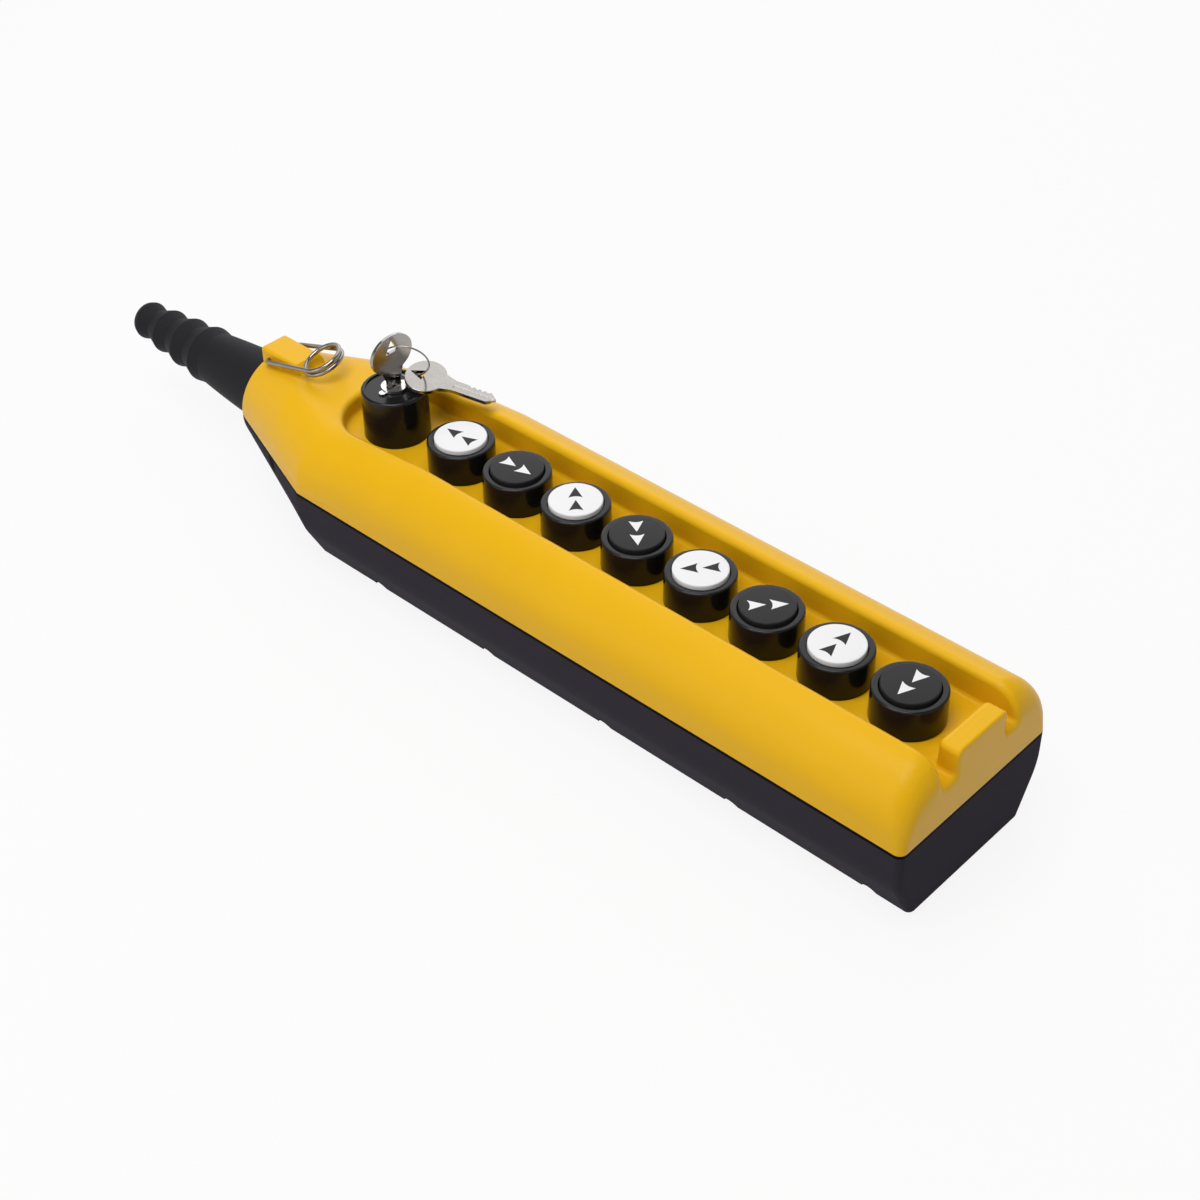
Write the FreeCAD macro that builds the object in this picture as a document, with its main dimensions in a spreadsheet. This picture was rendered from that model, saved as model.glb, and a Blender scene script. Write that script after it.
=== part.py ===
import FreeCAD, Part
import math
import os
import Sketcher

# Crane pendant control, lying on its back: +X runs from the cable boot to the wide end,
# Z is up out of the button side, the back of the casing lies on Z = 0.
# Origin: middle of the outline, on the back. Millimetres.

BUTTON_COUNT = 8
SCREWS_PER_SIDE = 5
RIDGE_COUNT = 4

SIZES = [
    # Layout along the casing
    ("button_pitch", 35.0),
    ("end_gap", 34.2),
    ("key_gap", 42.4),
    ("taper_gap", 18.1),
    ("nose_length", 68.3),
    ("boot_length", 103.9),
    # Casing section
    ("casing_width", 95.5),
    ("back_width", 71.0),
    ("parting_height", 41.0),
    ("floor_height", 59.7),
    ("rail_height", 14.2),
    ("nose_drop", 4.9),
    ("nose_step", 2.0),
    ("shelf_length", 30.0),
    ("shoulder_radius", 25.0),
    ("knee_height", 23.5),
    ("knee_run", 7.5),
    ("collar_radius", 23.4),
    ("collar_flat", 0.4),
    ("collar_sole", 12.0),
    ("collar_flank", 28.0),
    ("shell_wall", 3.0),
    ("panel_thick", 3.0),
    ("end_wall", 4.5),
    ("end_round", 3.5),
    ("rail_end_round", 13.0),
    ("collar_round", 1.5),
    ("back_round", 2.0),
    # Button channel and the guard at its open end
    ("channel_width", 48.4),
    ("channel_cove", 2.0),
    ("rail_round", 2.7),
    ("guard_width", 31.6),
    ("guard_height", 13.3),
    ("guard_thick", 10.3),
    ("guard_round", 3.0),
    ("guard_edge_round", 1.2),
    # Lug and hanging eye
    ("lug_width", 15.2),
    ("lug_length", 30.0),
    ("lug_rise", 2.7),
    ("lug_ramp", 5.0),
    ("lug_round", 1.6),
    ("eye_wire", 2.2),
    ("eye_reach", 32.0),
    ("eye_coil_radius", 9.5),
    ("eye_coil_pitch", 2.6),
    ("eye_tilt", 17.0),
    ("eye_pin_drop", 4.7),
    ("eye_pin_setback", 6.1),
    ("eye_pin_depth", 5.0),
    ("eye_pin_clearance", 0.06),
    # Cover screws, seal and cable clamp
    ("screw_shift", 3.6),
    ("screw_inset", 2.4),
    ("screw_diameter", 4.0),
    ("screw_head_diameter", 7.4),
    ("screw_head_height", 2.6),
    ("screw_seat_height", 12.0),
    ("screw_length", 40.0),
    ("screw_tip_gap", 1.0),
    ("counterbore_diameter", 9.2),
    ("boss_wall", 2.2),
    ("screw_clearance", 0.3),
    ("thread_clearance", 0.05),
    ("seal_inset", 1.0),
    ("seal_width", 1.2),
    ("seal_depth", 1.2),
    ("clamp_setback", 24.0),
    ("clamp_length", 40.0),
    ("clamp_depth", 12.0),
    ("clamp_height", 9.5),
    ("clamp_screw_span", 26.0),
    ("clamp_screw_diameter", 3.5),
    ("clamp_screw_reach", 10.0),
    # Cable boot
    ("boot_base_radius", 17.2),
    ("boot_cone_radius", 13.23),
    ("boot_tip_length", 3.1),
    ("boot_cone_bow", 620.0),
    ("boot_ridge_radius", 14.3),
    ("boot_ridge_step", 1.53),
    ("boot_ridge_pitch", 15.75),
    ("boot_ridge_lead", 6.55),
    ("boot_rise_angle", 16.5),
    ("boot_fall_angle", 20.8),
    ("boot_crown_round", 2.0),
    ("boot_groove_depth", 1.95),
    ("boot_lip", 2.3),
    ("boot_bore_radius", 6.5),
    ("boot_bore_length", 40.0),
    ("boot_mouth_radius", 10.5),
    ("boot_flange_radius", 19.6),
    ("boot_flange_thick", 4.0),
    ("collar_thick", 4.5),
    ("boot_clearance", 0.1),
    # Push button
    ("bezel_radius", 15.4),
    ("bezel_draft", 0.2),
    ("bezel_height", 14.8),
    ("bezel_round", 1.5),
    ("cup_round", 0.6),
    ("cap_radius", 11.8),
    ("cap_clearance", 0.3),
    ("cap_stand", 1.7),
    ("cap_round", 1.1),
    ("cap_wall", 1.6),
    ("cap_roof", 2.2),
    ("cap_skirt", 6.3),
    ("sleeve_radius", 11.0),
    ("sleeve_length", 9.5),
    ("sleeve_clearance", 0.15),
    ("gasket_radius", 13.9),
    ("gasket_thick", 1.2),
    ("nut_flats", 27.0),
    ("nut_thick", 4.5),
    ("plunger_radius", 4.0),
    ("plunger_clearance", 0.08),
    ("plunger_flange_radius", 5.4),
    ("plunger_flange_thick", 2.0),
    ("plunger_flange_gap", 0.4),
    ("plunger_tip_radius", 3.0),
    ("plunger_tip_length", 8.0),
    ("button_travel", 5.0),
    ("travel_gap", 0.7),
    ("spring_radius", 7.0),
    ("spring_wire", 0.8),
    ("spring_turns", 4.0),
    ("spring_gap", 0.05),
    # Contact block
    ("block_length", 31.0),
    ("block_width", 40.0),
    ("block_height", 29.0),
    ("block_bore_radius", 6.2),
    ("block_bore_floor", 3.0),
    ("block_step_width", 7.0),
    ("block_step_height", 11.0),
    ("terminal_diameter", 4.6),
    ("terminal_height", 2.4),
    ("terminal_span", 14.0),
    # Key switch
    ("head_radius", 15.3),
    ("head_draft", 0.2),
    ("head_height", 23.8),
    ("head_round", 1.2),
    ("head_rim_width", 2.0),
    ("head_rim_depth", 0.7),
    ("head_slot_width", 4.0),
    ("head_slot_height", 2.0),
    ("head_slot_depth", 0.5),
    ("barrel_radius", 5.2),
    ("barrel_clearance", 0.06),
    ("barrel_face_radius", 5.8),
    ("barrel_face_thick", 1.2),
    ("barrel_face_gap", 0.3),
    ("pointer_reach", 8.6),
    ("pointer_width", 3.2),
    ("pointer_thick", 0.6),
    ("barrel_tail", 0.5),
    ("cam_radius", 5.2),
    ("cam_lobe", 2.6),
    ("cam_thick", 3.0),
    ("cam_clearance", 0.75),
    ("cam_boss_radius", 2.6),
    # Keys and ring
    ("key_thick", 1.8),
    ("key_length", 34.0),
    ("key_blade_width", 7.4),
    ("key_notch", 1.3),
    ("key_groove_width", 1.7),
    ("key_groove_depth", 0.45),
    ("keyway_clearance", 0.3),
    ("bow_width", 23.8),
    ("bow_height", 18.6),
    ("bow_stand", 17.4),
    ("bow_hole_radius", 4.4),
    ("bow_hole_offset", 3.2),
    ("neck_width", 14.0),
    ("neck_root", 4.65),
    ("neck_drop", 13.5),
    ("ring_wire", 0.8),
    ("spare_ahead", 7.8),
    ("spare_aside", 12.6),
    ("spare_stand", 2.1),
]

doc = FreeCAD.newDocument("crane_pendant_control")
sheet = doc.addObject("Spreadsheet::Sheet", "dim")
for row, (alias, value) in enumerate(SIZES, 1):
    sheet.set("A%d" % row, alias)
    sheet.set("B%d" % row, str(value))
    sheet.setAlias("B%d" % row, alias)
doc.recompute()

V = FreeCAD.Vector
NODES = []
NEAR = 1e-3


def size(expression):
    """Value of an expression over the sheet's aliases."""
    return float(sheet.evalExpression(expression))


def bind(target, **expressions):
    """Bind properties of a document object to expressions over the sheet."""
    for name, expression in expressions.items():
        target.setExpression(name, expression)
    return target


def node(target, label):
    """Name a finished sub-part and keep it for the export."""
    target.Label = label
    NODES.append(target)
    return target


def outline(sketch, points, arcs=None):
    """Draw a closed outline: points are pairs of expressions, arcs gives the radius of a numbered side.

    The outline runs anticlockwise, and a side that is an arc bulges outwards.
    """
    arcs = arcs or {}
    corners = [V(size(across), size(along), 0) for across, along in points]
    starts = []
    for side, corner in enumerate(corners):
        following = corners[(side + 1) % len(corners)]
        if side in arcs:
            radius = size(arcs[side])
            half = (following - corner) * 0.5
            inward = V(-half.y, half.x, 0).normalize()
            depth = math.sqrt(max(radius ** 2 - half.Length ** 2, 0.0))
            crown = corner + half - inward * (radius - depth)
            sketch.addGeometry(Part.Arc(corner, crown, following))
            begins = sketch.Geometry[side].StartPoint.distanceToPoint(corner) < NEAR
            starts.append((1, 2) if begins else (2, 1))
        else:
            sketch.addGeometry(Part.LineSegment(corner, following))
            starts.append((1, 2))
    for side in range(len(corners)):
        following = (side + 1) % len(corners)
        sketch.addConstraint(
            Sketcher.Constraint("Coincident", side, starts[side][1], following, starts[following][0]))
    for side, (corner, pair) in enumerate(zip(corners, points)):
        for kind, axis, value, expression in (
                ("DistanceX", -2, corner.x, pair[0]), ("DistanceY", -1, corner.y, pair[1])):
            if expression == "0":
                sketch.addConstraint(Sketcher.Constraint("PointOnObject", side, starts[side][0], axis))
                continue
            made = sketch.addConstraint(Sketcher.Constraint(kind, -1, 1, side, starts[side][0], value))
            sketch.setExpression("Constraints[%d]" % made, expression)
    for side, expression in arcs.items():
        made = sketch.addConstraint(Sketcher.Constraint("Radius", side, size(expression)))
        sketch.setExpression("Constraints[%d]" % made, expression)
    return sketch


def body_sketch(body, name, role, points, arcs=None, lift=None):
    """Sketch on one of a body's origin planes, lifted along the plane's normal."""
    sketch = body.newObject("Sketcher::SketchObject", name)
    plane = next(feature for feature in body.Origin.OriginFeatures if feature.Role == role)
    sketch.AttachmentSupport = [(plane, "")]
    sketch.MapMode = "FlatFace"
    if lift:
        sketch.setExpression("AttachmentOffset.Base.z", lift)
    return outline(sketch, points, arcs)


def turned(label, points, arcs=None, axis="V_Axis"):
    """Body turned about its own Z (or X) axis from a half profile of radius and height."""
    body = doc.addObject("PartDesign::Body", label)
    sketch = body_sketch(body, label + "_profile", "XZ_Plane", points, arcs)
    turn = body.newObject("PartDesign::Revolution", label + "_turn")
    turn.Profile = sketch
    turn.ReferenceAxis = (sketch, [axis])
    turn.Angle = 360
    return body


def section(name, x, points, arcs=None):
    """Cross-section of the casing, square to X."""
    sketch = doc.addObject("Sketcher::SketchObject", name)
    sketch.Placement = FreeCAD.Placement(V(0, 0, 0), FreeCAD.Rotation(V(1, 1, 1), 120))
    sketch.setExpression("Placement.Base.x", x)
    return outline(sketch, points, arcs)


def loft(name, sections):
    """Straight-ruled solid through a row of cross-sections."""
    made = doc.addObject("Part::Loft", name)
    made.Sections = sections
    made.Solid = True
    made.Ruled = True
    return made


def placed(target, at):
    """Bind a primitive's place to three expressions."""
    for axis, expression in zip("xyz", at):
        target.setExpression("Placement.Base." + axis, expression)
    return target


def box(name, length, width, height, at):
    """Box with its lowest corner at a place."""
    made = doc.addObject("Part::Box", name)
    bind(made, Length=length, Width=width, Height=height)
    return placed(made, at)


def cylinder(name, radius, height, at, axis=V(0, 0, 1)):
    """Cylinder that rises along an axis from a place."""
    made = doc.addObject("Part::Cylinder", name)
    bind(made, Radius=radius, Height=height)
    made.Placement.Rotation = FreeCAD.Rotation(V(0, 0, 1), axis)
    return placed(made, at)


def fused(name, shapes):
    """Union of several solids."""
    made = doc.addObject("Part::MultiFuse", name)
    made.Shapes = shapes
    return made


def less(name, base, tool):
    """A solid with another cut out of it."""
    made = doc.addObject("Part::Cut", name)
    made.Base = base
    made.Tool = tool
    return made


def rounded(name, base, wanted, radius, kind="Part::Fillet"):
    """Round, or chamfer, the edges that pass a test.

    The radius is a number, or a function of the point where an edge ends.
    """
    doc.recompute()
    made = doc.addObject(kind, name)
    made.Base = base
    chosen = []
    for number, edge in enumerate(base.Shape.Edges, 1):
        if wanted(edge):
            ends = [radius(end.Point) if callable(radius) else radius for end in edge.Vertexes]
            chosen.append((number, ends[0], ends[-1]))
    made.Edges = chosen
    return made


# Places along the casing, as expressions over the sheet
ROW = "%d * dim.button_pitch" % (BUTTON_COUNT - 1)
X_END = ("((dim.boot_length + dim.nose_length + dim.taper_gap + dim.key_gap + %s + dim.end_gap) / 2)" % ROW)
X_LAST = "(%s - dim.end_gap)" % X_END
X_FIRST = "(%s - %s)" % (X_LAST, ROW)
X_KEY = "(%s - dim.key_gap)" % X_FIRST
X_TAPER = "(%s - dim.taper_gap)" % X_KEY
X_COLLAR = "(%s - dim.nose_length)" % X_TAPER
X_TIP = "(%s - dim.boot_length)" % X_COLLAR
X_SHELF = "(%s - dim.shelf_length)" % X_TAPER
X_INSIDE = "(%s + dim.collar_thick)" % X_COLLAR
HALF = "dim.casing_width / 2"
TAPER = "((%s - dim.collar_radius) / dim.nose_length)" % HALF
SHELF_HALF = "(%s - dim.shelf_length * %s)" % (HALF, TAPER)
RAIL_TOP = "(dim.floor_height + dim.rail_height)"
BUTTON_X = [size(X_FIRST) + number * size("dim.button_pitch") for number in range(BUTTON_COUNT)]
KEY_X = size(X_KEY)
FLOOR = size("dim.floor_height")
SWITCH_X = [KEY_X] + BUTTON_X


# Casing sections: the yellow front half above the parting line, the dark rear half below it
def front_section(name, x, half, top, radius):
    """Front half: upright sides, round shoulders, level crown."""
    low = "dim.parting_height"
    points = [
        ("-(%s)" % half, low),
        (half, low),
        (half, "%s - (%s)" % (top, radius)),
        ("%s - (%s)" % (half, radius), top),
        ("-(%s - (%s))" % (half, radius), top),
        ("-(%s)" % half, "%s - (%s)" % (top, radius)),
    ]
    return section(name, x, points, {2: radius, 4: radius})


def rear_section(name, x, half, back, bottom, knee):
    """Rear half: upright sides, a round knee, flanks that slope in to the flat back."""
    turn = "atan((%s - (%s)) / (%s - (%s)))" % (half, back, knee, bottom)
    radius = "dim.knee_run / tan(%s / 2)" % turn
    inner = "(%s - dim.knee_run * sin(%s))" % (half, turn)
    lower = "(%s - dim.knee_run * cos(%s))" % (knee, turn)
    upper = "(%s + dim.knee_run)" % knee
    points = [
        ("-(%s)" % back, bottom),
        (back, bottom),
        (inner, lower),
        (half, upper),
        (half, "dim.parting_height"),
        ("-(%s)" % half, "dim.parting_height"),
        ("-(%s)" % half, upper),
        ("-%s" % inner, lower),
    ]
    return section(name, x, points, {2: radius, 6: radius})


def rear_collar(name, x, radius):
    """Rear half of the round collar that holds the boot, with flats where the back and flanks run out."""
    parting = "dim.parting_height"
    sole = ("%s * sin(dim.collar_sole)" % radius, "%s - %s * cos(dim.collar_sole)" % (parting, radius))
    flank = ("%s * sin(dim.collar_flank)" % radius, "%s - %s * cos(dim.collar_flank)" % (parting, radius))
    side = (radius, "%s - dim.collar_flat" % parting)
    far = [sole, flank, side, (radius, parting)]
    near = [("-" + across, level) for across, level in far]
    points = near[:1] + far + near[:0:-1]
    return section(name, x, points, {2: radius, 6: radius})


# Front cover: outer skin and the hollow inside it
COLLAR_TOP = "(dim.parting_height + dim.collar_radius)"
NOSE_TOP = "max(%s - dim.nose_drop; %s + dim.nose_step)" % (RAIL_TOP, COLLAR_TOP)
COLLAR_ARC = "(dim.collar_radius - dim.collar_flat)"
front_skin = loft("front_skin", [
    front_section("front_end", X_END, HALF, RAIL_TOP, "dim.shoulder_radius"),
    front_section("front_first", X_FIRST, HALF, RAIL_TOP, "dim.shoulder_radius"),
    front_section("front_taper", X_TAPER, HALF, NOSE_TOP, "dim.shoulder_radius"),
    front_section("front_shelf", X_SHELF, SHELF_HALF, NOSE_TOP, "dim.shoulder_radius"),
    front_section("front_collar", X_COLLAR, "dim.collar_radius", COLLAR_TOP, COLLAR_ARC),
])
INNER_HALF = "(%s - dim.shell_wall)" % HALF
INNER_ROUND = "(dim.shoulder_radius - dim.shell_wall)"
INNER_COLLAR = "(dim.collar_radius - dim.shell_wall)"
front_hollow = loft("front_hollow", [
    front_section("hollow_end", "%s - dim.end_wall" % X_END, INNER_HALF,
                  "(%s - dim.shell_wall)" % RAIL_TOP, INNER_ROUND),
    front_section("hollow_first", X_FIRST, INNER_HALF, "(%s - dim.shell_wall)" % RAIL_TOP, INNER_ROUND),
    front_section("hollow_taper", X_TAPER, INNER_HALF, "(%s - dim.shell_wall)" % NOSE_TOP, INNER_ROUND),
    front_section("hollow_shelf", X_SHELF, "(%s - dim.shell_wall)" % SHELF_HALF,
                  "(%s - dim.shell_wall)" % NOSE_TOP, INNER_ROUND),
    front_section("hollow_collar", X_INSIDE, INNER_COLLAR,
                  "(dim.parting_height + %s)" % INNER_COLLAR, "(%s - dim.collar_flat)" % INNER_COLLAR),
])


def switch_holes(name, radius):
    """One round hole through the panel for each push button and for the key switch."""
    holes = []
    for number in range(BUTTON_COUNT + 1):
        x = X_KEY if number == 0 else "%s + %d * dim.button_pitch" % (X_FIRST, number - 1)
        low = "dim.floor_height - 2 * dim.panel_thick"
        holes.append(cylinder("%s_%d" % (name, number), radius, "4 * dim.panel_thick", (x, "0", low)))
    return holes


# Cover screws stand in two rows, two button pitches apart
SCREW_MIDDLE = "((%s + %s) / 2 - dim.screw_shift)" % (X_FIRST, X_LAST)
SCREW_SIDE = "(dim.back_width / 2 - dim.screw_inset)"
SCREW_PLACES = []
for place in range(SCREWS_PER_SIDE):
    along = "%s + %d * dim.button_pitch" % (SCREW_MIDDLE, 2 * place - SCREWS_PER_SIDE + 1)
    SCREW_PLACES.append((along, SCREW_SIDE))
    SCREW_PLACES.append((along, "-" + SCREW_SIDE))


def screw_columns(name, radius, low, height):
    """A column at each cover screw."""
    columns = []
    for number, (x, y) in enumerate(SCREW_PLACES):
        columns.append(cylinder("%s_%d" % (name, number), radius, height, (x, y, low)))
    return columns


def on_parting(edge):
    """Side of an outline that lies on the parting line."""
    bounds = edge.BoundBox
    return bounds.ZLength < NEAR and abs(bounds.ZMin - size("dim.parting_height")) < NEAR


def at_end(edge):
    """Outline of the wide end, without its side on the parting line."""
    return abs(edge.BoundBox.XMin - size(X_END)) < NEAR and not on_parting(edge)


def at_collar(edge):
    """Outline of the collar's mouth, without its side on the parting line."""
    return abs(edge.BoundBox.XMax - size(X_COLLAR)) < NEAR and not on_parting(edge)


def end_radius(point):
    """Round of the wide end: small at the parting line, growing to its largest along the rails' tops."""
    share = (point.z - size("dim.parting_height")) / (size(RAIL_TOP) - size("dim.parting_height"))
    return size("dim.end_round") + share * (size("dim.rail_end_round") - size("dim.end_round"))


front_end = rounded("front_skin_end", front_skin, at_end, end_radius)
front_mouth = rounded("front_skin_mouth", front_end, at_collar, size("dim.collar_round"))
LUG_TOP = "(%s + dim.lug_rise)" % NOSE_TOP
LUG_ROOT = "(dim.parting_height + %s / 2)" % COLLAR_ARC
lug_block = box("lug_block", "dim.lug_length", "dim.lug_width", "%s - %s" % (LUG_TOP, LUG_ROOT),
                (X_COLLAR, "-dim.lug_width / 2", LUG_ROOT))


def on_lug_top(edge):
    """Edge of the lug's level top."""
    return edge.BoundBox.ZMin > size(LUG_TOP) - NEAR


def lug_corner(edge):
    """Upper edges and the two upright edges of the lug's free end."""
    bounds = edge.BoundBox
    at_mouth = bounds.XMax < size(X_COLLAR) + NEAR
    upright = bounds.ZLength > NEAR and at_mouth
    along = on_lug_top(edge) and bounds.XLength > NEAR
    return upright or along or (on_lug_top(edge) and at_mouth)


def lug_inner(edge):
    """Upper edge of the lug's end that runs out into the nose."""
    return on_lug_top(edge) and edge.BoundBox.XMin > size(X_COLLAR + " + dim.lug_length") - NEAR


lug_ramped = rounded("lug_ramped", lug_block, lug_inner, size("dim.lug_ramp"), "Part::Chamfer")
lug = rounded("lug", lug_ramped, lug_corner, size("dim.lug_round"))
CHANNEL_SIDE = "dim.channel_width / 2"
ABOVE = "dim.head_height"
channel_run = box("channel_run", "%s - %s + dim.end_gap" % (X_END, X_KEY), "dim.channel_width", ABOVE,
                  (X_KEY, "-" + CHANNEL_SIDE, "dim.floor_height"))
channel_end = cylinder("channel_end", CHANNEL_SIDE, ABOVE, (X_KEY, "0", "dim.floor_height"))
guard = box("guard", "dim.guard_thick", "dim.guard_width", "dim.guard_height + dim.panel_thick",
            ("%s - dim.guard_thick" % X_END, "-dim.guard_width / 2", "dim.floor_height - dim.panel_thick"))


def guard_corner(edge):
    """Upper edges of the guard's inner end and sides, and the two upright edges of its inner end."""
    bounds = edge.BoundBox
    inner = size(X_END + " - dim.guard_thick")
    top = bounds.ZMin > size("dim.floor_height + dim.guard_height") - NEAR and bounds.XMin < inner + NEAR
    upright = bounds.ZLength > NEAR and bounds.XMax < inner + NEAR
    return top or upright


guard_form = rounded("guard_form", guard, guard_corner, size("dim.guard_round"))
channel_whole = fused("channel_whole", [channel_run, channel_end])


def channel_foot(edge):
    """Edges of the channel's floor, without the side that lies past the casing's end."""
    bounds = edge.BoundBox
    low = bounds.ZMax < size("dim.floor_height") + NEAR
    return low and bounds.XMin < size(X_END) - NEAR


channel = rounded("channel", channel_whole, channel_foot, size("dim.channel_cove"))
front_open = less("front_open", fused("front_lugged", [front_mouth, lug]), channel)
front_guarded = fused("front_guarded", [front_open, guard_form])


def guard_foot(edge):
    """Line where the guard's inner end and sides meet the channel's floor."""
    bounds = edge.BoundBox
    level = abs(bounds.ZMin - size("dim.floor_height")) < NEAR and bounds.ZLength < NEAR
    by_guard = bounds.XMin > size(X_END + " - dim.guard_thick") - NEAR
    narrow = max(abs(bounds.YMin), abs(bounds.YMax)) < size("dim.guard_width / 2") + NEAR
    return level and by_guard and narrow


front_form = rounded("front_form", front_guarded, guard_foot, size("dim.channel_cove"))


def rim_edge(edge):
    """Rim of the channel: along both rails and round the key switch, and down across the open end."""
    bounds = edge.BoundBox
    at_mouth = bounds.XMin > size(X_END) - NEAR and bounds.ZMin > size("dim.floor_height") - NEAR
    high = bounds.ZMin > size("dim.floor_height + dim.channel_cove") + NEAR
    middle = edge.valueAt((edge.FirstParameter + edge.LastParameter) / 2)
    along = abs(abs(middle.y) - size(CHANNEL_SIDE)) < NEAR and bounds.YLength < NEAR and bounds.XLength > NEAR
    sweep = math.hypot(middle.x - size(X_KEY), middle.y)
    about_key = abs(sweep - size(CHANNEL_SIDE)) < NEAR and middle.x < size(X_KEY) and bounds.XLength > NEAR
    inside = abs(middle.y) < size(CHANNEL_SIDE) + NEAR
    return (high and (along or about_key)) or (at_mouth and inside and bounds.YLength < size(HALF))


def rim_radius(point):
    """Round of the rim: small over the guard, larger in the drain valleys and along the rails."""
    on_guard = abs(point.y) < size("dim.guard_width / 2") + NEAR
    raised = point.z > size("dim.floor_height + dim.channel_cove") + NEAR
    return size("dim.guard_edge_round") if on_guard and raised else size("dim.rail_round")


front_lipped = rounded("front_lipped", front_form, rim_edge, rim_radius)

# Front cover: the hollow leaves the channel's walls, its floor and the screw bosses standing
TROUGH_SIDE = "(%s + dim.shell_wall)" % CHANNEL_SIDE
TROUGH_LOW = "dim.floor_height - dim.panel_thick"
TROUGH_HIGH = "dim.panel_thick + dim.rail_height"
trough_run = box("trough_run", "%s - %s" % (X_END, X_KEY), "2 * %s" % TROUGH_SIDE, TROUGH_HIGH,
                 (X_KEY, "-" + TROUGH_SIDE, TROUGH_LOW))
trough_end = cylinder("trough_end", TROUGH_SIDE, TROUGH_HIGH, (X_KEY, "0", TROUGH_LOW))
SCREW_TIP = "(dim.screw_seat_height + dim.screw_length)"
front_bosses = screw_columns("front_boss", "dim.screw_diameter / 2 + dim.boss_wall", "dim.parting_height",
                             "dim.floor_height")
front_void = less("front_void", front_hollow, fused("front_kept", [trough_run, trough_end] + front_bosses))
pilot_holes = screw_columns("pilot_hole", "dim.screw_diameter / 2 + dim.thread_clearance",
                            "dim.parting_height - dim.boss_wall",
                            "%s + dim.screw_tip_gap - dim.parting_height + dim.boss_wall" % SCREW_TIP)
boot_hole = cylinder("boot_hole", "dim.boot_base_radius + dim.boot_clearance", "3 * dim.collar_thick",
                     ("%s - dim.collar_thick" % X_COLLAR, "0", "dim.parting_height"), V(1, 0, 0))
PIN_X = "(%s + dim.eye_pin_setback)" % X_COLLAR
PIN_Z = "(%s - dim.eye_pin_drop)" % LUG_TOP
pin_hole = cylinder("pin_hole", "dim.eye_wire / 2 + dim.eye_pin_clearance", "2 * dim.lug_width",
                    (PIN_X, "-dim.lug_width", PIN_Z), V(0, 1, 0))
panel_holes = switch_holes("panel_hole", "dim.sleeve_radius + dim.sleeve_clearance")
front_shell = less("front_shell", front_lipped, front_void)
front_holes = fused("front_holes", [boot_hole, pin_hole] + panel_holes + pilot_holes)
node(less("front", front_shell, front_holes), "front_cover")

# Seal in the parting line: a flat cord round the casing, open where the boot is held
BOOT_BACK = "(%s + dim.boot_flange_thick)" % X_INSIDE


def extruded(name, base, length):
    """Solid made by carrying a closed outline along its normal."""
    made = doc.addObject("Part::Extrusion", name)
    made.Base = base
    made.DirMode = "Normal"
    made.Solid = True
    return bind(made, LengthFwd=length)


def seal_plate(name, inset):
    """Plate as deep as the seal, with an outline one step inside the casing's own."""
    side = "(%s - %s)" % (HALF, inset)
    bend = "(%s + %s * tan(atan(%s) / 2))" % (X_TAPER, inset, TAPER)
    end = "(%s - %s)" % (X_END, inset)
    turn = "(dim.end_round - %s)" % inset
    stop = "(%s - (%s - %s) * %s)" % (side, bend, BOOT_BACK, TAPER)
    far = [(BOOT_BACK, stop), (bend, side), ("%s - %s" % (end, turn), side), (end, "%s - %s" % (side, turn))]
    near = [(x, "-(%s)" % y) for x, y in far]
    sketch = doc.addObject("Sketcher::SketchObject", name + "_outline")
    sketch.setExpression("Placement.Base.z", "dim.parting_height - dim.seal_depth")
    outline(sketch, near + far[::-1], {2: turn, 4: turn})
    return extruded(name, sketch, "dim.seal_depth")


seal = less("seal", seal_plate("seal_outside", "dim.seal_inset"),
            seal_plate("seal_inside", "(dim.seal_inset + dim.seal_width)"))
node(seal, "cover_seal")

# Rear cover: flat back, sloping flanks, and the half collar under the boot
BACK = "dim.back_width / 2"
FLANK = "atan((%s - %s) / dim.knee_height)" % (HALF, BACK)
INNER_BACK = "(%s + dim.shell_wall * (tan(%s) - 1 / cos(%s)))" % (BACK, FLANK, FLANK)
INNER_KNEE = "(dim.knee_height + dim.shell_wall * tan(%s / 2))" % FLANK
rear_skin = loft("rear_skin", [
    rear_section("rear_end", X_END, HALF, BACK, "0", "dim.knee_height"),
    rear_section("rear_taper", X_TAPER, HALF, BACK, "0", "dim.knee_height"),
    rear_collar("rear_mouth", X_COLLAR, "dim.collar_radius"),
])
rear_hollow = loft("rear_hollow", [
    rear_section("rear_inner_end", "%s - dim.end_wall" % X_END, INNER_HALF, INNER_BACK, "dim.shell_wall",
                 INNER_KNEE),
    rear_section("rear_inner_taper", X_TAPER, INNER_HALF, INNER_BACK, "dim.shell_wall", INNER_KNEE),
    rear_collar("rear_inner_mouth", X_INSIDE, INNER_COLLAR),
])


def back_edge(edge):
    """The two long edges of the flat back."""
    bounds = edge.BoundBox
    return bounds.ZMax < NEAR and bounds.YLength < NEAR and bounds.XLength > NEAR


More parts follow.
